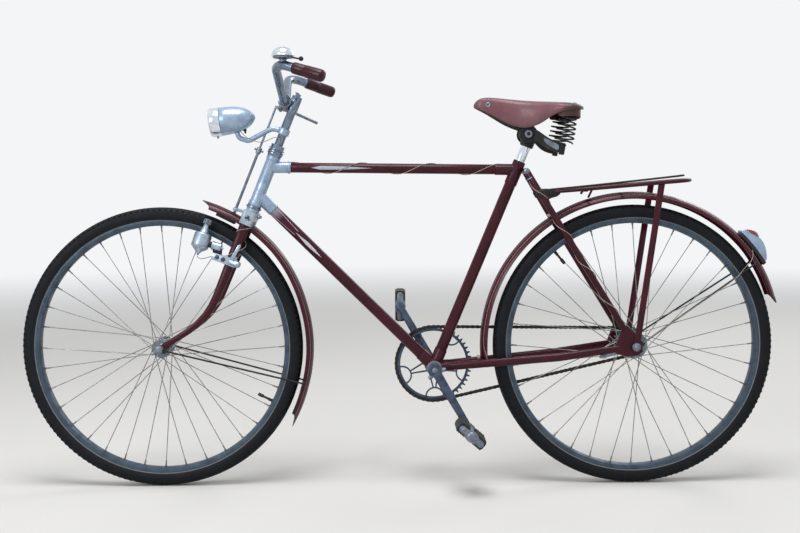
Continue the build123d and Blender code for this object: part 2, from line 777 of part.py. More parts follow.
def rim(centre):
    inside = RIM_HALF_WIDTH - RIM_WALL
    half = [
        (RIM_INNER, RIM_HALF_WIDTH / 2),
        (RIM_FLOOR - 1, RIM_HALF_WIDTH),
        (RIM_FLANGE, RIM_HALF_WIDTH),
        (RIM_FLANGE, inside),
        (RIM_FLOOR, inside),
    ]
    return turned_across(mirrored(half), centre)


def spokes(centre, flange_y, flange_radius):
    """Crossed wire spokes from the flanges to the rim, alternately outside and inside the flange."""
    pieces = []
    per_side = SPOKES // 2
    step = 360 / per_side
    for side in (-1, 1):
        for index in range(per_side):
            outward = 1 if index % 2 else -1
            start = index * step + (step / 2 if side > 0 else 0)
            beside = flange_y + outward * (FLANGE_THICK / 2 + SPOKE_RADIUS + FIT_GAP)
            hub_end = polar(flange_radius - SPOKE_HOLE_INSET, start, beside)
            lean = outward * SPOKES_CROSSED * step
            rim_end = polar(RIM_INNER - SEAT_GAP, start + lean, SPOKE_SPREAD)
            if outward > 0:
                share = share_at_radius(hub_end, rim_end, flange_radius)
                hub_end.Y += (beside - SPOKE_SPREAD) * share / (1 - share)
            wire = prism(hub_end, rim_end, SPOKE_RADIUS)
            pieces.append((wire if side > 0 else wire.mirror(Plane.XZ)).moved(Location(centre)))
    return pieces


def share_at_radius(start, end, radius):
    """Share of a spoke's length at which it passes a distance from the axle."""
    run = Vector(end.X - start.X, 0, end.Z - start.Z)
    here = Vector(start.X, 0, start.Z)
    a, b, c = run.dot(run), run.dot(here), here.dot(here) - radius ** 2
    return (math.sqrt(b * b - a * c) - b) / a


def hub(centre, flange_y, flange_radius, barrel, half_length):
    """Turned hub shell: barrel, two flanges and end caps, bored for the axle."""
    bore = AXLE_RADIUS + SHAFT_GAP
    outer, inner = flange_y + FLANGE_THICK / 2, flange_y - FLANGE_THICK / 2
    half = [
        (bore, half_length),
        (barrel - 2, half_length),
        (barrel, half_length - 2),
        (barrel, outer),
        (flange_radius, outer),
        (flange_radius, inner),
        (barrel, inner),
    ]
    return turned_across(mirrored(half), centre)


def axle(centre, layers):
    """Axle with its nuts beyond the frame end and what hangs outside it."""
    end = layers + NUT_HEIGHT + AXLE_STICKS_OUT
    body = cross_rod(centre, AXLE_RADIUS, -end, end)
    for side in (-1, 1):
        near = centre + Vector(0, side * layers, 0)
        body = fused(body, prism(near, near + Vector(0, side * NUT_HEIGHT, 0), NUT_RADIUS))
    return body


def front_axle():
    body = axle(FRONT, FRONT_DROPOUT_Y + DROPOUT_THICK)
    for side in (-1, 1):
        low, high = layer(FRONT_HUB_HALF + SEAT_GAP, FRONT_DROPOUT_Y, side)
        body = fused(body, cross_rod(FRONT, CONE_RADIUS, low, high))
    return body


def rear_axle():
    """Rear axle: on its left the brake arm sits between the cone and a spacer."""
    body = axle(REAR, REAR_DROPOUT_Y + DROPOUT_THICK + RACK_LEG_THICK)
    right = cross_rod(REAR, SPROCKET_SEAT_RADIUS, REAR_HUB_HALF + SEAT_GAP, REAR_DROPOUT_Y)
    cone = cross_rod(REAR, CONE_RADIUS, -BRAKE_ARM_Y, -REAR_HUB_HALF - SEAT_GAP)
    spacer = cross_rod(REAR, CONE_RADIUS, -REAR_DROPOUT_Y, -BRAKE_ARM_Y - BRAKE_ARM_THICK)
    return fused(body, right, cone, spacer)


def brake_arm():
    """Torque arm of the coaster hub, clipped under the left chain stay."""
    low, high = layer(BRAKE_ARM_Y, BRAKE_ARM_Y + BRAKE_ARM_THICK, -1)
    end = at(*BRAKE_ARM_END)
    left, right = end + Vector(-BRAKE_CLIP_BEFORE, 0, 0), end + Vector(BRAKE_CLIP_BEHIND, 0, 0)
    clip = strip(left, right, BRAKE_CLIP_THICK, -BRAKE_CLIP_OUTER, low + BRAKE_ARM_THICK / 2)
    arm = strip(REAR, end, BRAKE_ARM_WIDTH, low, high, BRAKE_ARM_END_WIDTH)
    body = fused(cross_rod(REAR, BRAKE_ARM_EYE, low, high), arm, clip)
    body = largest(body - bore(REAR, AXLE_RADIUS + FIT_GAP))
    return largest(body - chain_stays()[0])


# Chain drive


def chain_rollers():
    """Centre and outward angle of each roller round ring, lower run, sprocket and upper run."""
    lean, on_ring, on_sprocket, run = chain_wraps(DRIVE_DISTANCE)
    line = math.degrees(math.atan2(-BRACKET.Z, -BRACKET.X))
    upper = line + 90 - math.degrees(lean)
    lower = line + 270 + math.degrees(lean)
    rollers = []
    for index in range(CHAIN_LINKS):
        if index <= on_ring:
            angle = upper + index * 360 / RING_TEETH
            centre = BRACKET + polar(RING_PITCH_RADIUS, angle)
        elif index <= on_ring + run:
            angle = lower
            done = (index - on_ring) * CHAIN_PITCH
            centre = BRACKET + polar(RING_PITCH_RADIUS, angle) + polar(done, angle + 90)
        elif index <= on_ring + run + on_sprocket:
            angle = lower + (index - on_ring - run) * 360 / SPROCKET_TEETH
            centre = polar(SPROCKET_PITCH_RADIUS, angle)
        else:
            angle = upper
            done = (index - on_ring - run - on_sprocket) * CHAIN_PITCH
            centre = polar(SPROCKET_PITCH_RADIUS, angle) + polar(done, angle + 90)
        rollers.append((centre, angle))
    return rollers


def bends_at(points, index):
    """Whether an outline bends at a point, so that straight runs keep only their ends."""
    here, before, after = points[index], points[index - 1], points[(index + 1) % len(points)]
    first, second = here - before, after - here
    return abs(first.X * second.Z - first.Z * second.X) > 0.01


def chain():
    """Fixed chain loop: two rows of side plates joined by the rollers between them."""
    rollers = chain_rollers()
    loops = []
    for rise in (PLATE_HALF_HEIGHT, -PLATE_HALF_HEIGHT):
        points = [centre + polar(rise, angle) for centre, angle in rollers]
        loops.append([(points[i].X, points[i].Z) for i in range(len(points)) if bends_at(points, i)])
    rows = []
    for low in (CHAIN_LINE - PLATE_INNER_Y - PLATE_THICK, CHAIN_LINE + PLATE_INNER_Y):
        outer, inner = [plate(loop, low, low + PLATE_THICK) for loop in loops]
        rows.append(largest(outer - inner))
    pins = []
    for centre, angle in rollers:
        start = centre + Vector(0, CHAIN_LINE - PLATE_INNER_Y, 0)
        frame = Plane(origin=start, x_dir=polar(1, angle), z_dir=(0, 1, 0))
        section = frame * RegularPolygon(ROLLER_RADIUS, ROLLER_SIDES)
        pins.append(extrude(section, amount=2 * PLATE_INNER_Y).solid())
    return fused(rows[0], rows[1], *pins)


def chain_wheel(teeth, pitch_radius, first_gap):
    """Toothed disc: the gaps lie round the rollers, with blunt teeth between them."""
    step = 360 / teeth
    gap = ROLLER_RADIUS + TOOTH_GAP
    mouth, floor = pitch_radius + GAP_MOUTH_RISE, pitch_radius - gap * GAP_DEPTH
    wide = math.degrees(gap * GAP_MOUTH / pitch_radius)
    narrow = math.degrees(gap * GAP_FLOOR / pitch_radius)
    tip = math.degrees(TOOTH_TIP / pitch_radius)
    points = []
    for index in range(teeth):
        middle = first_gap + index * step
        for radius, turn in (
            (mouth, -wide),
            (floor, -narrow),
            (floor, narrow),
            (mouth, wide),
            (pitch_radius + TOOTH_RISE, step / 2 - tip),
            (pitch_radius + TOOTH_RISE, step / 2 + tip),
        ):
            point = polar(radius, middle + turn)
            points.append((point.X, point.Z))
    low = CHAIN_LINE - RING_THICK / 2
    return plate(points, low, low + RING_THICK)


def ring_arm(angle):
    """One fifth of the ring's open work: a bow inside the rim, held by two legs."""
    low, high = CHAIN_LINE - RING_THICK / 2, CHAIN_LINE + RING_THICK / 2
    inside, half_leg = RING_PITCH_RADIUS - RING_RIM_DEPTH, RING_LEG_WIDTH / 2
    centre = polar(inside, angle)
    bow = cross_rod(centre, RING_BOW_RADIUS, low, high)
    bow -= cross_rod(centre, RING_BOW_RADIUS - RING_LEG_WIDTH, low - 1, high + 1)
    bow = bow & cross_rod(REAR, inside + 1, low, high)
    legs = []
    for turn in (-1, 1):
        foot = polar(RING_HUB_RADIUS - half_leg, angle + turn * RING_LEG_FOOT_TURN)
        head = polar(inside - RING_BOW_RADIUS + half_leg, angle + turn * RING_LEG_HEAD_TURN)
        legs.append(strip(foot, head, RING_LEG_WIDTH, low, high))
    return fused(bow.solid(), *legs)


def chainring():
    """Forty-eight-tooth ring with five bows on two legs each, and a plate at the crank's eye."""
    low, high = CHAIN_LINE - RING_THICK / 2, CHAIN_LINE + RING_THICK / 2
    body = chain_wheel(RING_TEETH, RING_PITCH_RADIUS, chain_rollers()[0][1])
    body -= cross_rod(REAR, RING_PITCH_RADIUS - RING_RIM_DEPTH, low - 1, high + 1)
    arms = [ring_arm(RING_FIRST_ARM + index * 360 / RING_ARMS) for index in range(RING_ARMS)]
    body = fused(body.solid(), cross_rod(REAR, RING_HUB_RADIUS, low, high), *arms)
    body = largest(body - cross_rod(REAR, CRANK_AXLE_RADIUS + FIT_GAP, low - 1, high + 1))
    return body.moved(Location(BRACKET))


def rear_sprocket():
    """Eighteen-tooth sprocket, which stays with the chain beside the hub."""
    lean, on_ring, on_sprocket, run = chain_wraps(DRIVE_DISTANCE)
    first = math.ceil(on_ring + run)
    body = chain_wheel(SPROCKET_TEETH, SPROCKET_PITCH_RADIUS, chain_rollers()[first][1])
    return largest(body - bore(REAR, SPROCKET_SEAT_RADIUS + FIT_GAP))


def crank_axle():
    end = CRANK_INNER_Y + CRANK_THICK
    return cross_rod(BRACKET, CRANK_AXLE_RADIUS, -end, end)


def crank_end(side):
    """Middle of the pedal's spindle: the left crank rests low and to the rear, the right one opposite."""
    return BRACKET + polar(CRANK_LENGTH, CRANK_ANGLE + (180 if side > 0 else 0))


def crank(side):
    """Cottered crank: bored eye, tapering arm, and the pedal's spindle."""
    outer = CRANK_INNER_Y + CRANK_THICK
    low, high = layer(CRANK_INNER_Y, outer, side)
    eye = layer(CHAIN_LINE + RING_THICK / 2 if side > 0 else CRANK_INNER_Y, outer, side)
    spindle = layer(outer, PEDAL_INNER_Y + PEDAL_WIDTH - PEDAL_END_WALL - SEAT_GAP, side)
    end = crank_end(side)
    body = fused(
        cross_rod(BRACKET, CRANK_EYE_RADIUS, *eye),
        strip(BRACKET, end, CRANK_ROOT_WIDTH, low, high, CRANK_TIP_WIDTH),
        cross_rod(end, CRANK_END_RADIUS, low, high),
        cross_rod(end, PEDAL_SPINDLE, *spindle),
    )
    return largest(body - bore(BRACKET, CRANK_AXLE_RADIUS + FIT_GAP))


def pedal(side, tilt):
    """Pedal: barrel, end plates and two rubber blocks, free to turn on the spindle."""
    low, high = layer(PEDAL_INNER_Y, PEDAL_INNER_Y + PEDAL_WIDTH, side)
    centre = crank_end(side)
    along, up = polar(1, tilt), polar(1, tilt + 90)
    body = cross_rod(centre, PEDAL_BARREL, low, high)
    half, height = PEDAL_LENGTH / 2, PEDAL_HEIGHT / 2
    for end in (-1, 1):
        corners = []
        near, edge = PEDAL_BLOCK_START, half - PEDAL_ROUNDING
        for a, b in ((near, -1), (edge, -1), (half, -0.5), (half, 0.5), (edge, 1), (near, 1)):
            point = centre + along * (end * a) + up * (b * height)
            corners.append((point.X, point.Z))
        block = plate(corners, low + PEDAL_PLATE, high - PEDAL_PLATE)
        tip = centre + along * (end * edge)
        ends = [strip(centre, tip, PEDAL_PLATE_WIDTH, y, y + PEDAL_PLATE) for y in (low, high - PEDAL_PLATE)]
        body = fused(body, block, *ends)
    bore = layer(PEDAL_INNER_Y - 1, PEDAL_INNER_Y + PEDAL_WIDTH - PEDAL_END_WALL, side)
    return largest(body - cross_rod(centre, PEDAL_SPINDLE + SHAFT_GAP, *bore))


# Fork and steering


def turned_forward(direction, degrees):
    """A direction in the bicycle's plane, turned from pointing down towards pointing forward."""
    turn = math.radians(degrees)
    x, z = direction.X, direction.Z
    return Vector(x * math.cos(turn) + z * math.sin(turn), 0, z * math.cos(turn) - x * math.sin(turn))


def blade_places():
    """Points and directions along a fork blade: straight from the crown, an arc, and a straight tip."""
    top = on_head_axis(BLADE_TOP_Z)
    down = HEAD_UP * -1
    bend = HEAD_ANGLE - BLADE_TIP_ANGLE
    tip_along = turned_forward(down, bend)
    tip = FRONT - tip_along * BLADE_END_BACK
    offset = tip - top
    reach = (offset.X * tip_along.Z - offset.Z * tip_along.X) / (down.X * tip_along.Z - down.Z * tip_along.X)
    arc_start = top + down * (reach - BLADE_BEND * math.tan(math.radians(bend / 2)))
    arc_centre = arc_start + HEAD_FORWARD * BLADE_BEND
    places = [(top, down), (arc_start, down)]
    for index in range(1, BLADE_ARC_STEPS + 1):
        angle = bend * index / BLADE_ARC_STEPS
        centre = arc_centre + turned_forward(HEAD_FORWARD * -BLADE_BEND, angle)
        places.append((centre, turned_forward(down, angle)))
    places.append((tip, tip_along))
    return places


def fork_blades():
    """Oval blades that taper to the tips, with flat ends that hold the axle."""
    places = blade_places()
    lengths = [(places[i + 1][0] - places[i][0]).length for i in range(len(places) - 1)]
    pieces = []
    for side in (-1, 1):
        stations = []
        for index, (centre, direction) in enumerate(places):
            share = sum(lengths[:index]) / sum(lengths)
            y = side * (BLADE_TOP_Y + (BLADE_TIP_Y - BLADE_TOP_Y) * share)
            depth = BLADE_DEPTH + (BLADE_TIP_DEPTH - BLADE_DEPTH) * share
            width = BLADE_WIDTH + (BLADE_TIP_WIDTH - BLADE_WIDTH) * share
            stations.append((Vector(centre.X, y, centre.Z), direction, depth, width))
        tip = places[-1][0]
        low, high = layer(FRONT_DROPOUT_Y, FRONT_DROPOUT_Y + DROPOUT_THICK, side)
        root = tip + at(*FORK_END_ROOT)
        tongue = strip(root, FRONT, FORK_END_ROOT_WIDTH, low, high, FORK_END_WIDTH)
        end_plate = fused(cross_rod(FRONT, FORK_END_RADIUS, low, high), tongue)
        body = fused(oval_rod(stations), end_plate)
        pieces.append(largest(body - bore(FRONT, AXLE_RADIUS + SEAT_GAP)))
    return pieces


def fork_crown():
    """Crown over the blades, with the steerer, the race and the guide of the brake rod."""
    low, high = on_head_axis(CROWN_LOW), on_head_axis(CROWN_HIGH)
    foot = on_head_axis(BLADE_TOP_Z)
    socket_width, socket_height = 2 * (CROWN_HALF_WIDTH - BLADE_TOP_Y), (low - foot).length + 1
    outline = RectangleRounded(2 * CROWN_HALF_WIDTH, CROWN_DEPTH, CROWN_CORNER)
    top = extrude(Plane(origin=low, x_dir=(0, 1, 0), z_dir=HEAD_UP) * outline, amount=(high - low).length)
    body = top.solid()
    for side in (-1, 1):
        start = foot + Vector(0, side * BLADE_TOP_Y, 0)
        outline = RectangleRounded(socket_width, BLADE_DEPTH + 2 * CROWN_SOCKET_WALL, CROWN_CORNER)
        sleeve = extrude(Plane(origin=start, x_dir=(0, 1, 0), z_dir=HEAD_UP) * outline, amount=socket_height)
        body = fused(body, sleeve.solid())
    race = on_head_axis(HEAD_TUBE_LOW) - HEAD_UP * (HEADSET_CUP_HEIGHT + SEAT_GAP)
    guide = before_head_axis(CROWN_HIGH + GUIDE_RISE, ROD_FORWARD)
    guide_middle = guide + HEAD_UP * (GUIDE_HEIGHT / 2)
    arm_root = before_head_axis(CROWN_HIGH, GUIDE_ARM_ROOT) - HEAD_UP * GUIDE_RISE
    body = fused(
        body,
        rod(high - HEAD_UP, race, RACE_RADIUS),
        rod(high, STEERER_TOP, STEERER_RADIUS),
        rod(guide, guide + HEAD_UP * GUIDE_HEIGHT, GUIDE_RADIUS),
        strip(guide_middle, arm_root, GUIDE_HEIGHT, -GUIDE_ARM_HALF, GUIDE_ARM_HALF),
    )
    hole_low, hole_high = guide - HEAD_UP * GUIDE_HEIGHT, guide + HEAD_UP * 2 * GUIDE_HEIGHT
    return largest(body - rod(hole_low, hole_high, ROD_LOWER_RADIUS + SEAT_GAP))


def headset_nuts():
    rings = []
    low = 0.0
    for high, radius in HEADSET_RINGS:
        rings.append(rod(NUT_SEAT + HEAD_UP * low, NUT_SEAT + HEAD_UP * high, radius))
        low = high
    return largest(fused(*rings) - rod(NUT_SEAT - HEAD_UP, STEERER_TOP + HEAD_UP, STEERER_RADIUS + FIT_GAP))


def stem():
    """Quill with the clamp eye round the handlebar and the expander bolt on top."""
    top = on_head_axis(BAR_CENTRE.Z + STEM_RISE)
    body = fused(
        rod(STEERER_TOP, top, STEM_RADIUS),
        rod(on_head_axis(BAR_CENTRE.Z - STEM_SLEEVE_DROP), top, STEM_SLEEVE_RADIUS),
        cross_rod(BAR_CENTRE, STEM_EYE_RADIUS, -STEM_EYE_HALF_WIDTH, STEM_EYE_HALF_WIDTH),
        rod(top, top + HEAD_UP * STEM_BOLT_HEIGHT, STEM_BOLT_RADIUS),
    )
    return largest(body - bore(BAR_CENTRE, BAR_RADIUS + FIT_GAP))


def bar_line(side):
    """Points of one half of the handlebar, from the stem to the grip's end."""
    points = [BAR_CENTRE + Vector(0, side * BAR_STRAIGHT, 0)]
    points += [from_bar(x, z, side * y) for x, z, y in (BAR_CORNER, BAR_END)]
    return points


def handlebar(radius=BAR_RADIUS):
    points = list(reversed(bar_line(-1))) + bar_line(1)
    return bent_rod(points, [BAR_BEND, BAR_SMALL_BEND, BAR_SMALL_BEND, BAR_BEND], radius)


def grips():
    pieces = []
    for side in (-1, 1):
        _, corner, end = bar_line(side)
        along = (end - corner).normalized()
        start = end - along * (GRIP_LENGTH - GRIP_END)
        grip = rod(start, end + along * GRIP_END, GRIP_RADIUS)
        pieces.append(largest(grip - rod(start - along, end + along * FIT_GAP, BAR_RADIUS + FIT_GAP)))
    return pieces


def bell():
    """Bell on the left bend of the handlebar: clip post, gear case, dome and thumb lever."""
    base = from_bar(*BELL_BASE)
    outline = [(rise, BELL_RADIUS * share) for rise, share in BELL_DOME]
    dome = turned_along(base + UP * BELL_CASE, UP, outline)
    post = rod(base - UP * BELL_POST_LENGTH, base, BELL_POST_RADIUS)
    case = rod(base, base + UP * BELL_CASE, BELL_RADIUS - BELL_CASE_INSET)
    sides = base.Y - BELL_LEVER_HALF_WIDTH, base.Y + BELL_LEVER_HALF_WIDTH
    lever = strip(base + at(*BELL_LEVER_START), base + at(*BELL_LEVER_END), BELL_LEVER_THICK, *sides)
    return largest(fused(case, dome, post, lever) - handlebar(BAR_RADIUS + SEAT_GAP))


def brake_lever():
    """Brake lever under the right half of the bar, hung from a clip beside the stem."""
    points = [from_bar(*place) for place in LEVER_ROUTE]
    low, high = LEVER_CLIP_Y
    clip = cross_rod(BAR_CENTRE, LEVER_CLIP_RADIUS, low, high)
    start, end = BAR_CENTRE - UP * LEVER_HANGER_TOP, from_bar(*LEVER_HANGER_END)
    hanger = strip(start, end, LEVER_HANGER_WIDTH, low + 1, high - 1)
    body = fused(bent_rod(points, LEVER_BENDS, LEVER_RADIUS), clip, hanger)
    return largest(body - handlebar(BAR_RADIUS + SEAT_GAP))


def brake_shoe():
    """Rubber block held just above the tyre."""
    out, along = polar(1, SHOE_ANGLE), polar(1, SHOE_ANGLE + 90)
    corners = []
    for a, b in ((-1, SHOE_LOW), (1, SHOE_LOW), (1, SHOE_HIGH), (-1, SHOE_HIGH)):
        point = FRONT + out * b + along * (a * SHOE_HALF_LENGTH)
        corners.append((point.X, point.Z))
    return plate(corners, -SHOE_HALF_WIDTH, SHOE_HALF_WIDTH)


def brake_rod():
    """Brake rod before the head tube, with the screw joint that sets its length."""
    top = before_head_axis(BAR_CENTRE.Z - ROD_TOP_DROP, ROD_FORWARD)
    low = before_head_axis(ROD_FOOT, ROD_FORWARD)
    middle = before_head_axis(ROD_JOINT, ROD_FORWARD)
    screw = middle + HEAD_UP * ROD_WING_RISE
    back, up, side = LEVER_ROUTE[0]
    hook_start = top - HEAD_UP * ROD_HOOK_WIDTH / 2
    body = fused(
        rod(middle, top, ROD_UPPER_RADIUS),
        rod(low, middle, ROD_LOWER_RADIUS),
        rod(middle - HEAD_UP * ROD_NUT_LOW, middle + HEAD_UP * ROD_NUT_HIGH, ROD_NUT_RADIUS),
        rod(screw - HEAD_FORWARD * ROD_WING_HALF, screw + HEAD_FORWARD * ROD_WING_HALF, ROD_WING_RADIUS),
        strip(hook_start, from_bar(back, up), ROD_HOOK_WIDTH, -ROD_HOOK_Y, side - ROD_HOOK_GAP),
    )
    return largest(body - brake_shoe())


# Lamps and dynamo

LAMP_BACK = LAMP_CLAMP + at(*LAMP_TIP)
LAMP_AXIS = Vector(-math.cos(math.radians(LAMP_NOD)), 0, -math.sin(math.radians(LAMP_NOD)))


def headlamp_shell():
    return turned_along(LAMP_BACK, LAMP_AXIS, LAMP_PROFILE + [(BEZEL_START - FIT_GAP, LAMP_RADIUS - 1)])


def headlamp_bezel():
    """Bright ring round the lens."""
    end = LAMP_LENGTH - BEZEL_LIP
    outline = [(BEZEL_START, LAMP_RADIUS), (end - BEZEL_ROUNDING, LAMP_RADIUS), (end, BEZEL_FRONT_RADIUS)]
    body = turned_along(LAMP_BACK, LAMP_AXIS, outline)
    seat, front = LAMP_BACK + LAMP_AXIS * (end - LENS_SEAT), LAMP_BACK + LAMP_AXIS * LAMP_LENGTH
    return largest(body - rod(seat, front, LENS_RADIUS))


def headlamp_lens():
    start, radius = LAMP_LENGTH - BEZEL_LIP - LENS_SEAT + FIT_GAP, LENS_RADIUS - FIT_GAP
    edge = LAMP_LENGTH - 2 * BEZEL_LIP
    outline = [(start, radius), (edge, radius), (LAMP_LENGTH, LENS_FACE_RADIUS)]
    return turned_along(LAMP_BACK, LAMP_AXIS, outline)


def lamp_bracket():
    """Bent arm from a clamp round the stem to the foot under the lamp, pierced by the brake rod."""
    arm = bent_rod([LAMP_CLAMP + at(x, z) for x, z in LAMP_ARM_ROUTE], LAMP_ARM_BENDS, LAMP_ARM_RADIUS)
    half = HEAD_UP * LAMP_CLAMP_HALF
    body = fused(rod(LAMP_CLAMP - half, LAMP_CLAMP + half, LAMP_CLAMP_RADIUS), arm)
    body = largest(body - headlamp_shell())
    pierced = before_head_axis(LAMP_CLAMP.Z, ROD_FORWARD)
    body = largest(body - rod(pierced - half * 3, pierced + half * 3, ROD_UPPER_RADIUS + ROD_HOLE_SPARE))
    return largest(body - rod(LAMP_CLAMP - half * 3, LAMP_CLAMP + half * 3, STEM_RADIUS + FIT_GAP))


def dynamo():
    """Bottle dynamo beside the tyre: roller, neck, body and terminal."""
    top, low = from_front(*DYNAMO_TOP), from_front(*DYNAMO_LOW)
    return turned_along(top, (low - top).normalized(), DYNAMO_PROFILE)


def dynamo_bracket():
    """Hinge drum beside the dynamo and the arm that is bolted to the left fork blade."""
    low, high = DYNAMO_ARM_Y
    root, tip = [from_front(*place) for place in DYNAMO_ARM]
    arm = strip(root, tip, DYNAMO_ARM_WIDTH, low, high, DYNAMO_ARM_END_WIDTH)
    drum = rod(*[from_front(*place) for place in DYNAMO_DRUM], DYNAMO_DRUM_RADIUS)
    post = rod(*[from_front(*place) for place in DYNAMO_POST], DYNAMO_POST_RADIUS)
    clip = plate([(FRONT.X + x, z) for x, z in DYNAMO_CLIP], low, DYNAMO_CLIP_INNER_Y)
    body = largest(fused(drum, arm, post, clip) - dynamo())
    return largest(body - fork_blades()[0])


def rear_lamp_body():
    """Rear lamp on the mudguard: a base, and a body that leans out over it."""
    out, along = polar(1, REAR_LAMP_ANGLE), polar(1, REAR_LAMP_ANGLE + 90)
    corners = []
    for place, rise in REAR_LAMP_OUTLINE:
        point = out * (GUARD_OUTER + rise) + along * place
        corners.append((point.X, point.Z))
    body = plate(corners, -REAR_LAMP_HALF_WIDTH, REAR_LAMP_HALF_WIDTH)
    return largest(body - guard(REAR, REAR_GUARD_TAIL, REAR_GUARD_ROOT))


def rear_lamp_lens():
    out, along = polar(1, REAR_LAMP_ANGLE), polar(1, REAR_LAMP_ANGLE + 90)
    place, rise = REAR_LENS_PLACE
    start = out * (GUARD_OUTER + rise + FIT_GAP) + along * place
    return turned_along(start, out, REAR_LENS_PROFILE)


# Mudguards, stays and rack


def guard(centre, start, end):
    """Bowed strip with turned-in edges round a wheel, from one angle to another."""
    depth, width, wall = GUARD_DEPTH, GUARD_HALF_WIDTH, GUARD_THICK
    outer = GUARD_SECTION + [(depth, width)]
    crown, shoulder, edge = GUARD_SECTION
    inner = [(depth, width - wall), (edge[0] + wall * 0.8, edge[1] - wall * 0.9)]
    inner += [(shoulder[0] + wall, shoulder[1] - wall / 2), (crown[0] + wall, crown[1] - wall / 3)]
    half = [(GUARD_OUTER - drop, y) for drop, y in outer + inner]
    face = make_face(Polyline(*mirrored(half), close=True))
    bow = revolve(face, axis=Axis.Y, revolution_arc=end - start).solid()
    return bow.rotate(Axis.Y, -end).moved(Location(centre))


def front_mudguard():
    """Front mudguard with the slot that the brake rod passes through."""
    body = guard(FRONT, FRONT_GUARD_TAIL, FRONT_GUARD_TIP)
    foot, guide = before_head_axis(ROD_FOOT, ROD_FORWARD), before_head_axis(CROWN_HIGH, ROD_FORWARD)
    over = HEAD_UP * GUARD_DEPTH
    return largest(body - rod(foot - over, guide + over, ROD_LOWER_RADIUS + GUARD_SLOT_SPARE))


def rear_mudguard():
    """Rear mudguard, waisted where it passes between the chain stays."""
    body = guard(REAR, REAR_GUARD_TAIL, REAR_GUARD_ROOT)
    size = 3 * GUARD_DEPTH
    for side in (-1, 1):
        across, height = side * (GUARD_WAIST + size / 2), GUARD_WAIST_TOP - size / 2
        middle = Pos(GUARD_DEPTH / 2 - GUARD_OUTER, across, height)
        body = largest(body - middle * Box(size, size, size))
    return body


def guard_stays(centre, angle, foot, start_y):
    """Wire stays from the frame ends to the mudguard's edges."""
    beside = GUARD_STAY_RADIUS + SEAT_GAP
    edge_radius = GUARD_OUTER - GUARD_DEPTH + GUARD_STAY_RISE
    pieces = []
    for side in (-1, 1):
        start = at(*foot, side * (start_y + beside))
        end = polar(edge_radius, angle, side * (GUARD_HALF_WIDTH + beside))
        pieces.append(prism(start, end, GUARD_STAY_RADIUS).moved(Location(centre)))
    return pieces


def front_mudguard_stays():
    return guard_stays(FRONT, FRONT_STAY_ANGLE, FRONT_STAY_FOOT, FRONT_DROPOUT_Y + DROPOUT_THICK)


def rear_mudguard_stays():
    return guard_stays(REAR, REAR_STAY_ANGLE, REAR_STAY_FOOT, REAR_DROPOUT_Y + DROPOUT_THICK)


def on_rack(x, y=0.0, rise=0.0):
    """Point on or above the middle line of the rack's rails."""
    share = (x - RACK_FRONT_X) / (RACK_REAR_X - RACK_FRONT_X)
    return at(x, RACK_FRONT_Z + (RACK_REAR_Z - RACK_FRONT_Z) * share + rise, y)


def rack_platform():
    """Tubular rail bent round the rack, with two inner rails and cross bars."""
    plan = [(RACK_FRONT_X, RACK_FRONT_HALF_WIDTH)]
    plan += [(RACK_WIDE_X, RACK_HALF_WIDTH), (RACK_REAR_X, RACK_HALF_WIDTH)]
    left = [on_rack(x, -y) for x, y in plan]
    right = [on_rack(x, y) for x, y in reversed(plan)]
    body = bent_rod(left + right, RACK_BENDS, RACK_RAIL_RADIUS)
    half = RACK_HALF_WIDTH - RACK_RAIL_RADIUS / 2
    bars = [cross_rod(on_rack(x), RACK_BAR_RADIUS, -half, half) for x in RACK_CROSS_BARS]
    start, end = RACK_CROSS_BARS[0], RACK_REAR_X - RACK_RAIL_RADIUS / 2
    for side in (-1, 1):
        y = side * RACK_INNER_RAIL_Y
        bars.append(rod(on_rack(start, y), on_rack(end, y), RACK_BAR_RADIUS))
    body = fused(body, *bars)
    for stay in seat_stays():
        body = largest(body - stay)
    return body


def rack_clip():
    """Sprung wire that holds luggage down, coiled round the rack's front cross bar."""
    bar_x, wide = RACK_CROSS_BARS[0], CLIP_HALF_WIDTH
    half = wide + CLIP_WIRE_RADIUS
    coil = cross_rod(on_rack(bar_x), CLIP_COIL_RADIUS, -half, half)
    left = [on_rack(bar_x, -wide, CLIP_RISE), on_rack(CLIP_REAR_X, -wide, CLIP_REAR_RISE)]
    right = [on_rack(CLIP_REAR_X, wide, CLIP_REAR_RISE), on_rack(bar_x, wide, CLIP_RISE)]
    wire = bent_rod(left + right, [CLIP_BEND, CLIP_BEND], CLIP_WIRE_RADIUS)
    return largest(fused(coil, wire) - bore(on_rack(bar_x), RACK_BAR_RADIUS + SEAT_GAP))


def rack_legs():
    """Flat legs from the rear axle up to the rack's rails."""
    pieces = []
    platform = rack_platform()
    inner = REAR_DROPOUT_Y + DROPOUT_THICK
    for side in (-1, 1):
        low, high = layer(inner, inner + RACK_LEG_THICK, side)
        eye = cross_rod(REAR, RACK_LEG_EYE, low, high)
        leg = fused(eye, strip(REAR, on_rack(RACK_LEG_X), RACK_LEG_WIDTH, low, high))
        leg = largest(leg - bore(REAR, AXLE_RADIUS + SEAT_GAP))
        pieces.append(largest(leg - platform))
    return pieces


# Saddle


def saddle_blank(inset, grow):
    """Saddle's outer form, or what is hollowed out of it from below."""
    sections = []
    for x, half_width, top, skirt in SADDLE_STATIONS:
        wide, high, low = half_width - inset, top - inset, skirt - grow
        shoulder = high - (top - skirt) * SADDLE_SHOULDER
        half = [(wide, low), (wide, shoulder), (wide * SADDLE_CROWN, high)]
        points = [(x, -y, z) for y, z in half] + [(x, y, z) for y, z in reversed(half)]
        sections.append(make_face(Polyline(*points, close=True)))
    return loft(sections, ruled=True).solid()


def saddle_leather():
    """Leather top: a stretched skin with deep skirts, hollow from below."""
    return largest(saddle_blank(0, 0) - saddle_blank(LEATHER_THICK, 30))


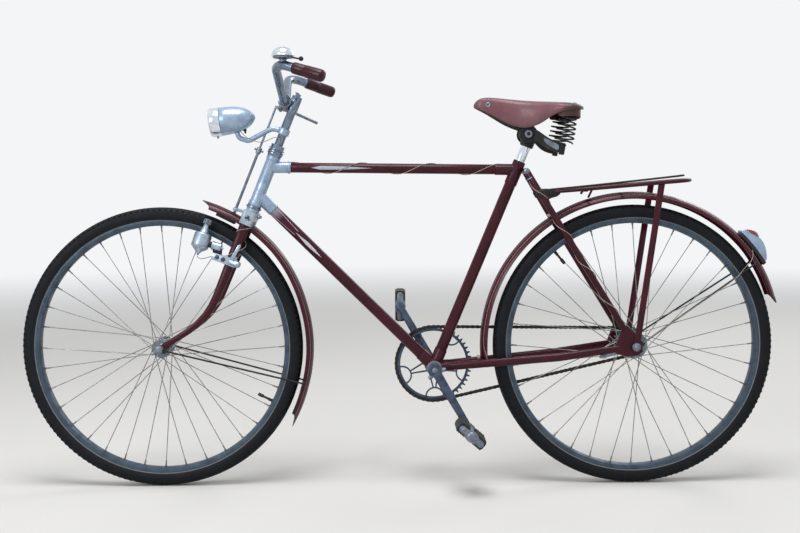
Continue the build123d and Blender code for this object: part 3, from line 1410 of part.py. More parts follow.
def saddle_springs():
    """Coil springs under the rear of the saddle, as stacks of coils with straight sides."""
    pieces = []
    half_pitch = (SPRING_HIGH - SPRING_LOW) / SPRING_TURNS / 2
    for side in (-1, 1):
        sections = []
        for index in range(2 * SPRING_TURNS + 1):
            radius = SPRING_RADIUS if index % 2 else SPRING_WAIST
            place = at(SPRING_X, SPRING_LOW + index * half_pitch, side * SPRING_Y)
            sections.append(Plane(origin=place) * RegularPolygon(radius, SPRING_SIDES))
        pieces.append(loft(sections, ruled=True).solid())
    return pieces


def saddle_frame():
    """Clamp on the seat post, rails to the nose, lower wires to the springs, and the cantle bar."""
    clamp, nose, cantle = at(*SADDLE_CLAMP), at(*SADDLE_NOSE), at(*SADDLE_CANTLE)
    post_top = on_seat_axis(SEAT_POST_TOP)
    body = fused(
        cross_rod(clamp, SADDLE_CLAMP_RADIUS, -SADDLE_CLAMP_HALF, SADDLE_CLAMP_HALF),
        rod(post_top - SEAT_UP * POST_CLAMP_LOW, post_top + SEAT_UP * POST_CLAMP_HIGH, POST_CLAMP_RADIUS),
        cross_rod(nose, SADDLE_BAR_RADIUS, -NOSE_BAR_HALF, NOSE_BAR_HALF),
        cross_rod(cantle, SADDLE_BAR_RADIUS, -CANTLE_BAR_HALF, CANTLE_BAR_HALF),
    )
    for side in (-1, 1):
        out = Vector(0, side, 0)
        low = at(SPRING_X, SPRING_LOW, side * SPRING_Y)
        high = at(SPRING_X, SPRING_HIGH, side * SPRING_Y)
        body = fused(
            body,
            rod(clamp + out * RAIL_CLAMP_Y, nose + out * RAIL_NOSE_Y, SADDLE_WIRE_RADIUS),
            rod(clamp + out * LOWER_WIRE_CLAMP_Y, low - UP * SPRING_FOOT, SADDLE_WIRE_RADIUS),
            rod(low - UP * SPRING_FOOT, low, SPRING_CAP_RADIUS),
            rod(high, high + UP * SPRING_CAP_HEIGHT, SPRING_CAP_RADIUS),
            rod(high + UP * (SPRING_CAP_HEIGHT / 2), cantle + out * SPRING_Y, SADDLE_WIRE_RADIUS),
        )
    body -= rod(post_top - SEAT_UP * SEAT_POST_DEPTH, post_top, SEAT_POST_RADIUS + FIT_GAP)
    body -= saddle_leather()
    return list(body.solids())


def sub_parts():
    """Every sub-part under its own name."""
    return {
        "head_tube": head_tube(),
        "headset_cups": headset_cups(),
        "top_tube": top_tube(),
        "down_tube": down_tube(),
        "seat_tube": seat_tube(),
        "seat_post": seat_post(),
        "bottom_bracket": bottom_bracket(),
        "bracket_cups": bracket_cups(),
        "chain_stays": chain_stays(),
        "seat_stays": seat_stays(),
        "stay_bridges": stay_bridges(),
        "front_tyre": tyre(FRONT),
        "rear_tyre": tyre(REAR),
        "front_rim": rim(FRONT),
        "rear_rim": rim(REAR),
        "front_spokes": spokes(FRONT, FRONT_FLANGE_Y, FRONT_FLANGE_RADIUS),
        "rear_spokes": spokes(REAR, REAR_FLANGE_Y, REAR_FLANGE_RADIUS),
        "front_hub": hub(FRONT, FRONT_FLANGE_Y, FRONT_FLANGE_RADIUS, FRONT_BARREL, FRONT_HUB_HALF),
        "rear_hub": hub(REAR, REAR_FLANGE_Y, REAR_FLANGE_RADIUS, REAR_BARREL, REAR_HUB_HALF),
        "front_axle": front_axle(),
        "rear_axle": rear_axle(),
        "brake_arm": brake_arm(),
        "chain": chain(),
        "chainring": chainring(),
        "rear_sprocket": rear_sprocket(),
        "crank_axle": crank_axle(),
        "left_crank": crank(-1),
        "right_crank": crank(1),
        "left_pedal": pedal(-1, LEFT_PEDAL_TILT),
        "right_pedal": pedal(1, RIGHT_PEDAL_TILT),
        "fork_crown": fork_crown(),
        "fork_blades": fork_blades(),
        "headset_nuts": headset_nuts(),
        "stem": stem(),
        "handlebar": handlebar(),
        "grips": grips(),
        "bell": bell(),
        "brake_lever": brake_lever(),
        "brake_rod": brake_rod(),
        "brake_shoe": brake_shoe(),
        "headlamp_shell": headlamp_shell(),
        "headlamp_bezel": headlamp_bezel(),
        "headlamp_lens": headlamp_lens(),
        "lamp_bracket": lamp_bracket(),
        "dynamo": dynamo(),
        "dynamo_bracket": dynamo_bracket(),
        "front_mudguard": front_mudguard(),
        "front_mudguard_stays": front_mudguard_stays(),
        "rear_mudguard": rear_mudguard(),
        "rear_mudguard_stays": rear_mudguard_stays(),
        "rack_platform": rack_platform(),
        "rack_clip": rack_clip(),
        "rack_legs": rack_legs(),
        "rear_lamp_body": rear_lamp_body(),
        "rear_lamp_lens": rear_lamp_lens(),
        "saddle_leather": saddle_leather(),
        "saddle_springs": saddle_springs(),
        "saddle_frame": saddle_frame(),
    }


os.makedirs("parts", exist_ok=True)
to_rider = Location((-RIDER_X, 0, -RIDER_Z))
for name, shape in sub_parts().items():
    solids = shape if isinstance(shape, list) else [shape]
    placed = [solid.moved(to_rider) for solid in solids]
    export_step(placed[0] if len(placed) == 1 else Compound(children=placed), f"parts/{name}.step")
    print(name, len(placed))
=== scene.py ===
# %% [markdown]
# # A gentleman's touring bicycle
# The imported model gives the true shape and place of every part. This lesson dresses it: tyres get their
# tread, wheels their wire spokes and nipples, the saddle its leather, and each surface the finish of the real
# material. Everything is in metres. The saddle's top is the origin, +X points to the rear and +Z up.

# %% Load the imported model
import math
import bpy
from mathutils import Euler, Matrix, Vector


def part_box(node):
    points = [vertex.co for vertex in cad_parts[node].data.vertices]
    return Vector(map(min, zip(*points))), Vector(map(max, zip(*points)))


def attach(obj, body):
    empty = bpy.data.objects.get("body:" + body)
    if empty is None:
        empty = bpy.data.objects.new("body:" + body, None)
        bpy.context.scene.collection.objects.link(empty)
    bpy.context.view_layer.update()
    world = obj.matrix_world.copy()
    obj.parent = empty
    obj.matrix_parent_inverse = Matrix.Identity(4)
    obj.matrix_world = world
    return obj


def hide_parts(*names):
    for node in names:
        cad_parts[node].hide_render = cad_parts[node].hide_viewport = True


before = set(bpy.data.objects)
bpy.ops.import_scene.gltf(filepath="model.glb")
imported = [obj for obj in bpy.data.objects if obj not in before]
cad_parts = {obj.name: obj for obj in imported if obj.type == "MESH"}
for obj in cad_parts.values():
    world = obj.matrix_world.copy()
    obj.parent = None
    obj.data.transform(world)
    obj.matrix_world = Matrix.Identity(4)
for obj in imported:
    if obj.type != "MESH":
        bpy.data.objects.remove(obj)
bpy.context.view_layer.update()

# %% [markdown]
# The drawing of the bicycle is measured in millimetres from the middle of the rear axle. One small function
# turns such a place into metres from the saddle, so every piece below can be given as it would be on the
# drawing.

# %% Places on the bicycle
REAR_AXLE = Vector((0.240, 0, -0.6183))
REAR_WHEEL = (0, 0, 0)
FRONT_WHEEL = (-1200, 0, 0)
GROUND = -357.5
HEAD_ANGLE, SEAT_ANGLE, CRANK_ANGLE = 67.7, 67.2, -60
CRANK_LENGTH = 0.170
SIDES = ((-1, "left"), (1, "right"))
AXLE_WAY = (0, 1, 0)


def place(x, y, z):
    """Millimetres from the rear axle to metres from the saddle."""
    return REAR_AXLE + Vector((x, y, z)) / 1000


def on_wheel(centre, radius, degrees, y=0.0):
    """Place on a wheel, from its radius and its angle above straight back."""
    turn = math.radians(degrees)
    return place(centre[0] + radius * math.cos(turn), y, centre[2] + radius * math.sin(turn))


def heading(degrees):
    """A direction in the plane of the bicycle, from its angle above straight back."""
    turn = math.radians(degrees)
    return Vector((math.cos(turn), 0, math.sin(turn)))


BRACKET = Vector(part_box("crank_axle")[0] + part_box("crank_axle")[1]) / 2
HEAD_UP = heading(HEAD_ANGLE)
print("crank axle at", tuple(round(value, 4) for value in BRACKET))

# %% [markdown]
# Every piece starts as a primitive and is shaped in edit mode. A few small helpers keep the selection clean,
# because an operator acts on everything that is selected.

# %% Helpers for modelling
SAME_POINT = 0.00001


def select_only(*pieces):
    """Selects these pieces and nothing else, with the first one active."""
    bpy.ops.object.select_all(action="DESELECT")
    for piece in pieces:
        piece.select_set(True)
    bpy.context.view_layer.objects.active = pieces[0]


def edit(piece):
    """Opens a piece in edit mode with all of it selected."""
    select_only(piece)
    bpy.ops.object.mode_set(mode="EDIT")
    bpy.ops.mesh.select_all(action="SELECT")


def close_edit():
    bpy.ops.object.mode_set(mode="OBJECT")


def tidy(piece):
    """Merges doubled points and turns all faces outwards."""
    edit(piece)
    bpy.ops.mesh.remove_doubles(threshold=SAME_POINT)
    bpy.ops.mesh.normals_make_consistent(inside=False)
    close_edit()
    return piece


def smooth(piece, degrees=35):
    """Rounds the shading over shallow edges and keeps the sharp ones."""
    select_only(piece)
    bpy.ops.object.shade_smooth_by_angle(angle=math.radians(degrees))
    return piece


def apply_modifiers(piece):
    select_only(piece)
    for modifier in list(piece.modifiers):
        bpy.ops.object.modifier_apply(modifier=modifier.name)
    return piece


def soften(piece, width_mm, segments=2, degrees=35):
    """Rounds every sharp edge a little, as a casting or a pressing has them."""
    bevel = piece.modifiers.new("soft edges", "BEVEL")
    bevel.width = width_mm / 1000
    bevel.segments = segments
    bevel.limit_method = "ANGLE"
    bevel.angle_limit = math.radians(degrees)
    bevel.use_clamp_overlap = True
    return apply_modifiers(piece)


def joined(name, pieces):
    """Several meshes made one object."""
    select_only(*pieces)
    bpy.ops.object.join()
    pieces[0].name = name
    pieces[0].data.name = name
    return pieces[0]


def settle(piece):
    """Puts a piece's place into its mesh, so that the object itself stands at the origin."""
    select_only(piece)
    bpy.ops.object.transform_apply(location=True, rotation=True, scale=True)
    return piece

# %% [markdown]
# A turned part, such as a hub, a bell or a lamp, is one outline spun about its axis. The outline starts as a
# single point, which is extruded from corner to corner, as a turner follows a drawing, and `spin` sweeps it
# round.

# %% Turned pieces


def turned(name, outline, start, direction, steps=32):
    """Spins an outline of (millimetres along the axis, radius in millimetres) about the axis."""
    axis = Vector(direction).normalized()
    side = axis.cross(Vector((0, 0, 1)) if abs(axis.z) < 0.9 else Vector((1, 0, 0))).normalized()
    points = [start + axis * (along / 1000) + side * (radius / 1000) for along, radius in outline]
    bpy.ops.mesh.primitive_circle_add(vertices=3, radius=0.001, location=points[0])
    piece = bpy.context.object
    settle(piece)
    edit(piece)
    bpy.ops.mesh.merge(type="CENTER")
    for here, after in zip(points, points[1:]):
        bpy.ops.mesh.extrude_region_move(TRANSFORM_OT_translate={"value": after - here})
    bpy.ops.mesh.select_all(action="SELECT")
    bpy.ops.mesh.spin(steps=steps, angle=math.tau, center=start, axis=axis)
    close_edit()
    piece.name = name
    return tidy(piece)


def repeated(piece, count, centre, axis=AXLE_WAY):
    """Copies a modelled piece round a centre, as spokes and tread blocks repeat."""
    edit(piece)
    bpy.ops.mesh.spin(steps=count, dupli=True, angle=math.tau, center=centre, axis=axis)
    bpy.ops.mesh.select_all(action="SELECT")
    bpy.ops.mesh.remove_doubles(threshold=SAME_POINT / 2)
    close_edit()
    return piece

# %% [markdown]
# Bent tubes and wires are curves with a round section, made into meshes once their line is right. A straight
# bar is turned, and a plate is a flat outline that is extruded to its thickness.

# %% Tubes, wires and plates


def tube(name, points, radius, resolution=8, sides=3):
    """A round tube in millimetres of radius along a smooth line that control points lead."""
    bpy.ops.curve.primitive_nurbs_path_add(location=(0, 0, 0))
    piece = bpy.context.object
    line = piece.data.splines[0]
    while len(line.points) > len(points):
        piece.data.splines.remove(line)
        line = piece.data.splines.new("NURBS")
    line.points.add(len(points) - len(line.points))
    for point, where in zip(line.points, points):
        point.co = (*where, 1)
    line.order_u = 3
    line.use_endpoint_u = True
    line.resolution_u = resolution
    piece.data.bevel_depth = radius / 1000
    piece.data.bevel_resolution = sides
    piece.data.use_fill_caps = True
    bpy.ops.object.convert(target="MESH")
    piece = bpy.context.object
    piece.name = name
    settle(piece)
    return tidy(piece)


def bar(name, start, end, radius, sides=12):
    """A straight round bar with a small chamfer at its ends."""
    length = (end - start).length * 1000
    nose = min(radius * 0.25, 0.6)
    outline = [(0, 0), (0, radius - nose), (nose, radius), (length - nose, radius), (length, radius - nose),
               (length, 0)]
    return turned(name, outline, start, end - start, sides)


def plate(name, corners, low, high):
    """A plate from its outline of (x, z) on the drawing and its two sides."""
    points = [place(x, low, z) for x, z in corners]
    bpy.ops.mesh.primitive_circle_add(vertices=len(points), radius=0.01, fill_type="NGON", location=(0, 0, 0))
    piece = bpy.context.object
    for vertex, point in zip(piece.data.vertices, points):
        vertex.co = point
    edit(piece)
    bpy.ops.mesh.extrude_region_move(TRANSFORM_OT_translate={"value": (0, (high - low) / 1000, 0)})
    close_edit()
    piece.name = name
    return tidy(piece)

# %% [markdown]
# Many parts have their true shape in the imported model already. They are copied, merged into whole faces and
# given soft edges, because no cast or pressed edge is as sharp as a drawn one.

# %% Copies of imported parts
FLAT_ANGLE = 0.5


def copy_of(part_name, width_mm):
    """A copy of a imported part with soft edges, which stands for it."""
    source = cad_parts[part_name]
    piece = bpy.data.objects.new(part_name + "_finished", source.data.copy())
    bpy.context.collection.objects.link(piece)
    piece.data.materials.clear()
    edit(piece)
    bpy.ops.mesh.remove_doubles(threshold=SAME_POINT / 5)
    bpy.ops.mesh.dissolve_limited(angle_limit=math.radians(FLAT_ANGLE))
    close_edit()
    smooth(soften(piece, width_mm))
    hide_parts(part_name)
    return piece

# %% [markdown]
# Colours are written as they are mixed on a screen, in sRGB hex, and one function turns them into the linear
# values that the renderer works with. One more function adds a node with its settings and links.

# %% Helpers for materials


def colour(text):
    """An sRGB hex colour as linear red, green, blue and alpha."""
    parts = [int(text[index:index + 2], 16) / 255 for index in (1, 3, 5)]
    linear = [part / 12.92 if part <= 0.04045 else ((part + 0.055) / 1.055) ** 2.4 for part in parts]
    return (*linear, 1)


def set_inputs(tree, made, values):
    """Sets a node's inputs to values, or links them to outputs."""
    for name, value in values.items():
        if isinstance(value, bpy.types.NodeSocket):
            tree.links.new(value, made.inputs[name])
        else:
            made.inputs[name].default_value = value


def node(tree, kind, output, inputs=None, stops=(), **settings):
    """Adds a node with its settings, inputs and tones on a ramp. Returns one output, or all of them."""
    made = tree.nodes.new("ShaderNode" + kind)
    for name, value in settings.items():
        setattr(made, name, value)
    set_inputs(tree, made, inputs or {})
    if stops:
        elements = made.color_ramp.elements
        while len(elements) < len(stops):
            elements.new(0.5)
        for element, (where, shade) in zip(elements, stops):
            element.position = where
            element.color = colour(shade) if isinstance(shade, str) else (shade, shade, shade, 1)
    return made.outputs if output is None else made.outputs[output]


def blank_material(name):
    """A new material with its tree, its shader and the place of a point on the object."""
    material = bpy.data.materials.new(name)
    material.use_nodes = True
    tree = material.node_tree
    return material, tree, tree.nodes["Principled BSDF"], node(tree, "TexCoord", "Object")


def per_metre(millimetres):
    """Noise scale for a pattern whose patches are so many millimetres wide."""
    return 1000 / millimetres

# %% [markdown]
# Most finishes share one build: a base colour that drifts a little from patch to patch, dull spots where the
# surface has aged, and a fine grain in the bump. What differs is the size of each pattern and how much it
# shows.

# %% A worn surface
GRAIN_DEPTH = 0.0004


def worn_surface(name, main, aged, patch_mm, rough, rough_aged, grain_mm, bump, metallic=0.0, coat=0.0,
                 speck=None, speck_mm=3.0, speck_share=0.3, ior=1.5, shade=None):
    """Colour drift, aged patches, specks and grain on one shader."""
    material, tree, shader, here = blank_material(name)
    patches = node(tree, "TexNoise", "Fac", {"Vector": here, "Scale": per_metre(patch_mm), "Detail": 6,
                                             "Roughness": 0.62})
    spread = node(tree, "ValToRGB", "Color", {"Fac": patches}, [(0.36, main), (0.68, aged)])
    if shade:
        spread = shade(tree, here, spread)
    dull = node(tree, "ValToRGB", "Color", {"Fac": patches}, [(0.38, rough), (0.70, rough_aged)])
    if speck:
        dots = node(tree, "TexNoise", "Fac", {"Vector": here, "Scale": per_metre(speck_mm), "Detail": 4,
                                              "Roughness": 0.7})
        rare = (1 - speck_share) * 0.12
        mask = node(tree, "ValToRGB", "Color", {"Fac": dots}, [(0.60 + rare, 0), (0.70 + rare, 1)])
        spread = node(tree, "Mix", 2, {"Factor": mask, 6: spread, 7: colour(speck)}, data_type="RGBA")
    grain = node(tree, "TexNoise", "Fac", {"Vector": here, "Scale": per_metre(grain_mm), "Detail": 3})
    relief = node(tree, "Bump", "Normal", {"Height": grain, "Strength": bump, "Distance": GRAIN_DEPTH})
    set_inputs(tree, shader, {"Base Color": spread, "Roughness": dull, "Normal": relief, "Metallic": metallic,
                              "Coat Weight": coat, "Coat Roughness": 0.12})
    if not metallic:
        set_inputs(tree, shader, {"IOR": ior})
    return material

# %% [markdown]
# Stoved enamel is a hard glossy paint baked onto the steel. Decades have dulled it in patches and left small
# pale chips, and the gloss shows as a long narrow reflection on every tube.

# %% Paints
ENAMEL = ("#440e1f", "#300b17", 46)


def stoved_enamel(name, shade=None):
    return worn_surface(name, *ENAMEL, 0.20, 0.36, 1.4, 0.10, speck="#8d6f6c", speck_mm=2.6, speck_share=0.05,
                        ior=1.32, shade=shade)


maroon_enamel = stoved_enamel("maroon stoved enamel")
# The blue in the two silver paints is painted sky reflection.
silver_enamel = worn_surface("silver bronze paint", "#a2b7d0", "#8598b0", 22, 0.30, 0.46, 0.9, 0.18,
                             metallic=0.5, coat=0.2, speck="#5d5c5a", speck_mm=1.8, speck_share=0.25)
SCRAPE = place(-974, -45, 329)
SCRAPE_RAGGED = 0.012


def scraped(tree, here, spread):
    """Bares dark steel in one ragged patch, by the distance of a shaken point from its middle."""
    noise = node(tree, "TexNoise", "Color", {"Vector": here, "Scale": per_metre(5), "Detail": 3})
    shake = node(tree, "VectorMath", "Vector", {0: noise, 1: (SCRAPE_RAGGED,) * 3}, operation="MULTIPLY")
    shaken = node(tree, "VectorMath", "Vector", {0: here, 1: shake})
    middle = SCRAPE + Vector((0.5, 0.5, 0.5)) * SCRAPE_RAGGED
    away = node(tree, "VectorMath", "Value", {0: shaken, 1: tuple(middle)}, operation="DISTANCE")
    bare = node(tree, "MapRange", "Result", {"Value": away, "From Min": 0.0065, "From Max": 0.0095,
                                             "To Min": 1, "To Max": 0})
    return node(tree, "Mix", 2, {"Factor": bare, 6: spread, 7: colour("#3b3d49")}, data_type="RGBA")


chipped_silver = worn_surface("chipped silver paint", "#b3c1d0", "#97a4b3", 22, 0.32, 0.5, 0.9, 0.18,
                              metallic=0.35, speck="#5d5c5a", speck_mm=1.8, speck_share=0.3, shade=scraped)
black_enamel = worn_surface("worn black enamel", "#101014", "#1e1d1b", 14, 0.38, 0.62, 1.1, 0.25,
                            speck="#7d746c", speck_mm=3.2, speck_share=0.45, ior=1.38)

# %% [markdown]
# Chromium plate is almost a mirror, but old chrome has a mist of fine pits. Zinc plated and bare steel is
# greyer and duller, and it is stained brown where the plating has gone.

# %% Metals
# The blue in the chrome, the plated and forged steel, the rim steel and the aluminium is painted sky
# reflection.
bright_chrome = worn_surface("polished chromium plate", "#e8f0f8", "#c3ccd6", 18, 0.08, 0.2, 0.8, 0.06,
                             metallic=1.0, speck="#6f6053", speck_mm=1.2, speck_share=0.1)
chrome = worn_surface("aged chromium plate", "#8391a4", "#657080", 18, 0.12, 0.30, 0.8, 0.10, metallic=1.0,
                      speck="#6f6053", speck_mm=1.2, speck_share=0.25)
plated_steel = worn_surface("dulled zinc plated steel", "#858e9b", "#666c76", 12, 0.32, 0.52, 0.7, 0.22,
                            metallic=0.9, speck="#5e4a3c", speck_mm=1.4, speck_share=0.3)
rim_steel = worn_surface("brushed steel rim", "#485868", "#39434e", 26, 0.38, 0.58, 0.8, 0.22, metallic=0.7,
                         speck="#4a3d30", speck_mm=2.2, speck_share=0.35)
spoke_steel = worn_surface("drawn steel wire", "#8c8f92", "#6e6c68", 30, 0.30, 0.50, 0.6, 0.10, metallic=0.9)
chain_steel = worn_surface("oiled chain steel", "#3c3834", "#241f1b", 6, 0.36, 0.62, 0.8, 0.30, metallic=0.8,
                           speck="#6a4b35", speck_mm=1.6, speck_share=0.35)
crank_steel = worn_surface("dull forged steel", "#525e72", "#3b4452", 16, 0.36, 0.60, 1, 0.30, metallic=0.85,
                           speck="#59442f", speck_mm=1.8, speck_share=0.4)
cast_aluminium = worn_surface("polished cast aluminium", "#b0bfcf", "#909dac", 14, 0.28, 0.46, 0.9, 0.2,
                              metallic=0.85, speck="#6a6763", speck_mm=1.6, speck_share=0.25)

# %% [markdown]
# Tyre rubber is black and matt and greys with road dust, most of all on the side walls. The grips are a hard
# moulded plastic that has kept its shine where no hand reaches.

# %% Rubber and plastic
pedal_rubber = worn_surface("moulded black rubber", "#101216", "#1f2022", 10, 0.62, 0.85, 0.9, 0.4,
                            speck="#55504a", speck_mm=2.0, speck_share=0.3)
grip_plastic = worn_surface("moulded maroon plastic", "#3c0e1c", "#290c15", 20, 0.24, 0.40, 1.2, 0.12,
                            ior=1.36)
wire_cover = worn_surface("aged cable cover", "#a39b8f", "#7f776c", 12, 0.5, 0.65, 1, 0.2)

# %% [markdown]
# The tyre has three tones: dark tread, side walls grey with dust, and one thin pale line beside the rim,
# where the rubber has worn to its cotton edge. How far a point lies from the axle says which it is.

# %% Tyre rubber


def tyre_rubber(name, centre):
    material, tree, shader, here = blank_material(name)
    moved = node(tree, "Mapping", "Vector", {"Vector": here,
                                             "Location": tuple(-value for value in place(*centre))})
    split = node(tree, "SeparateXYZ", None, {"Vector": moved})
    flat = node(tree, "CombineXYZ", 0, {"X": split["X"], "Z": split["Z"]})
    radius = node(tree, "VectorMath", "Value", {0: flat}, operation="LENGTH")
    reach = node(tree, "MapRange", "Result", {"Value": radius, "From Min": 0.320, "From Max": 0.358})
    dust = node(tree, "TexNoise", "Fac", {"Vector": here, "Scale": per_metre(18), "Detail": 7,
                                          "Roughness": 0.65})
    tone = node(tree, "ValToRGB", "Color", {"Fac": reach}, [(0, "#6b7176"), (0.125, "#72787d"),
                                                            (0.155, "#11141b"), (0.45, "#0d1016"),
                                                            (0.80, "#0a0c10"), (0.97, "#121318")])
    dusty = node(tree, "ValToRGB", "Color", {"Fac": dust}, [(0.45, 0), (0.80, 0.4)])
    mix = node(tree, "Mix", 2, {"Factor": dusty, 6: tone, 7: colour("#24262b")}, data_type="RGBA")
    grain = node(tree, "TexNoise", "Fac", {"Vector": here, "Scale": per_metre(1.6), "Detail": 3})
    relief = node(tree, "Bump", "Normal", {"Height": grain, "Strength": 0.3, "Distance": GRAIN_DEPTH})
    set_inputs(tree, shader, {"Base Color": mix, "Normal": relief, "Roughness": 0.6,
                              "Specular IOR Level": 0.18})
    return material


front_rubber = tyre_rubber("front tyre rubber", FRONT_WHEEL)
rear_rubber = tyre_rubber("rear tyre rubber", REAR_WHEEL)

# %% [markdown]
# The two main tubes carry painted flashes: tapering darts in pale grey, and behind the head lug of the down
# tube a lilac fade with two fine lines. Each is drawn by how far a point lies along the tube and beside its
# middle.

# %% Painted flashes
FLASH_REACH = 20


def flash(start, end, length_mm, marks, fade=None):
    """Paints marks on a tube: each has a tone, and stops of middle and half width in millimetres."""
    along = (end - start).normalized()
    upward = along.cross(Vector(AXLE_WAY)).normalized()

    def shade(tree, here, spread):
        def by_length(stops, unit):
            scaled = [(at / length_mm, value / unit) for at, value in stops]
            return node(tree, "ValToRGB", "Color", {"Fac": share}, scaled)

        def painted(factor, tone):
            return node(tree, "Mix", 2, {"Factor": factor, 6: spread, 7: colour(tone)}, data_type="RGBA")

        moved = node(tree, "VectorMath", "Vector", {0: here, 1: tuple(start)}, operation="SUBTRACT")
        run = node(tree, "VectorMath", "Value", {0: moved, 1: tuple(along)}, operation="DOT_PRODUCT")
        side = node(tree, "VectorMath", "Value", {0: moved, 1: tuple(upward)}, operation="DOT_PRODUCT")
        share = node(tree, "MapRange", "Result", {"Value": run, "From Max": length_mm / 1000})
        beside = node(tree, "Math", 0, {0: side}, operation="ABSOLUTE")
        if fade:
            tone, first, last = fade
            spread = painted(by_length([(first, 1), (last, 0)], 1), tone)
        for tone, middles, widths in marks:
            middle, width = by_length(middles, FLASH_REACH), by_length(widths, FLASH_REACH)
            reach = node(tree, "Math", 0, {0: beside, 1: 1000 / FLASH_REACH}, operation="MULTIPLY")
            off = node(tree, "Math", 0, {0: reach, 1: middle}, operation="SUBTRACT")
            off = node(tree, "Math", 0, {0: off}, operation="ABSOLUTE")
            spread = painted(node(tree, "Math", 0, {0: off, 1: width}, operation="LESS_THAN"), tone)
        return spread

    return shade


down_flash = flash(place(-951.7, 0, 385.3), BRACKET, 250, [
    ("#b7a9b8", [(60, 10.5), (137, 6)], [(60, 0), (64, 0.7), (132, 0.7), (138, 0)]),
    ("#c3c8d0", [(0, 0), (250, 0)], [(132, 0), (150, 1.8), (173, 4.4), (200, 3), (224, 0)]),
], ("#8f8798", 58, 84))
SEAT_LUG = place(-298, 0, 447.5)
top_flash = flash(place(-922.5, 0, 456.5), SEAT_LUG, 300, [
    ("#aeb6c2", [(0, 0), (300, 0)], [(106, 0), (128, 4.8), (190, 4), (262, 0)]),
])
down_enamel = stoved_enamel("maroon enamel with lined darts", down_flash)
top_enamel = stoved_enamel("maroon enamel with a grey flash", top_flash)

# %% [markdown]
# A piece is finished by one call: its material and the body that it moves with.

# %% Helpers that finish a piece
finished = {}


def finish_piece(piece, body, material, slot, stands_for=(), angle=35):
    smooth(piece, angle)
    piece.data.materials.clear()
    piece.data.materials.append(material)
    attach(piece, body)
    if stands_for:
        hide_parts(*stands_for)
    finished[piece.name] = len(piece.data.polygons)
    return piece


def finish_turned(name, outline, start, direction, steps, *finish):
    """A turned piece that needs no more than its body and material. Its slot is not used."""
    return finish_piece(turned(name, outline, start, direction, steps), *finish)


def finish_plate(name, corners, low, high, width_mm, segments, *finish):
    """A plate that needs no more than soft edges and its body and material. Its slot is not used."""
    return finish_piece(soften(plate(name, corners, low, high), width_mm, segments), *finish)

# %% [markdown]
# ## Wheels
# A tyre is one outline spun about the axle: bead, side wall, shoulder and a crown with grooves. The
# shoulders' tread is one small block and its mirror image, half a step further on, which are repeated round
# the wheel.

# %% Tyres
TREAD_BLOCKS = 150
WHEEL_STEPS = 160


def mirrored(half):
    return half + [(-along, radius) for along, radius in reversed(half)]


def tyre(name, centre, body, material, node_name):
    half = [
        (14, 318.2), (15.6, 323.4), (17, 325.5), (19, 330), (19.9, 335), (19.8, 340), (18.9, 344.5),
        (18, 347), (16.6, 349.6), (14.6, 352), (12, 353.9), (10, 354.9), (9.4, 353.7), (8.2, 354.3),
        (7.6, 355.9), (4, 356.9), (3.4, 355.7), (1.6, 356), (1, 357.2),
    ]
    middle = place(*centre)
    carcass = turned(name, mirrored(half) + [half[0]], middle, AXLE_WAY, WHEEL_STEPS)
    bpy.ops.mesh.primitive_cube_add(size=1, location=place(centre[0] + 351.6, 14.9, centre[2]))
    block = bpy.context.object
    block.scale = (0.0042, 0.0052, 0.0056)
    block.rotation_euler = (0, 0, math.radians(44))
    settle(block)
    select_only(soften(block, 0.6, 1))
    bpy.ops.object.duplicate()
    other = bpy.context.object
    other.scale = (1, -1, 1)
    settle(other)
    half_step = Matrix.Rotation(math.pi / TREAD_BLOCKS, 4, "Y")
    other.data.transform(Matrix.Translation(middle) @ half_step @ Matrix.Translation(-middle))
    blocks = repeated(tidy(joined(name + "_blocks", [block, other])), TREAD_BLOCKS, middle)
    return finish_piece(joined(name, [carcass, blocks]), body, material, "tyre_rubber", [node_name], 40)


front_tyre = tyre("front_tyre_rubber", FRONT_WHEEL, "front_wheel", front_rubber, "front_tyre")
tyre("rear_tyre_rubber", REAR_WHEEL, "rear_wheel", rear_rubber, "rear_tyre")
print("tyres:", len(front_tyre.data.polygons), "faces each")

# %% [markdown]
# The rim is rolled from steel strip: a deep well between two hooked edges, with a bulge on each side where it
# is knurled for strength. Plated nipples stand in it, and each spoke is a drawn wire with a head at the hub.

# %% Rims


def rim(name, centre, body, node_name):
    half = [
        (14.2, 317.5), (14.2, 322.2), (14.8, 322.9), (15.6, 322.9), (16, 322.2), (16, 319.5), (15.2, 317.4),
        (15.4, 315), (14.6, 313), (12.4, 311.6), (10, 311.2), (8.4, 310.5), (4, 310.1), (0.1, 310),
    ]
    well = [(0.1, 317.3), (12.6, 317.4)]
    outline = mirrored(half) + mirrored(well)[::-1] + [half[0]]
    finish_turned(name, outline, place(*centre), AXLE_WAY, WHEEL_STEPS, body, rim_steel, "rim_steel",
                  [node_name])


rim("front_rim_ring", FRONT_WHEEL, "front_wheel", "front_rim")
rim("rear_rim_ring", REAR_WHEEL, "rear_wheel", "rear_rim")

# %% [markdown]
# Thirty-six spokes cross three times on their way out. On each flange every second spoke leans forward and
# the others lean back, so four spokes are modelled and each is repeated nine times round the axle. A nipple
# joins each to the rim.

# %% Spokes
SPOKES_PER_SIDE = 18
SPOKES_CROSSED = 3


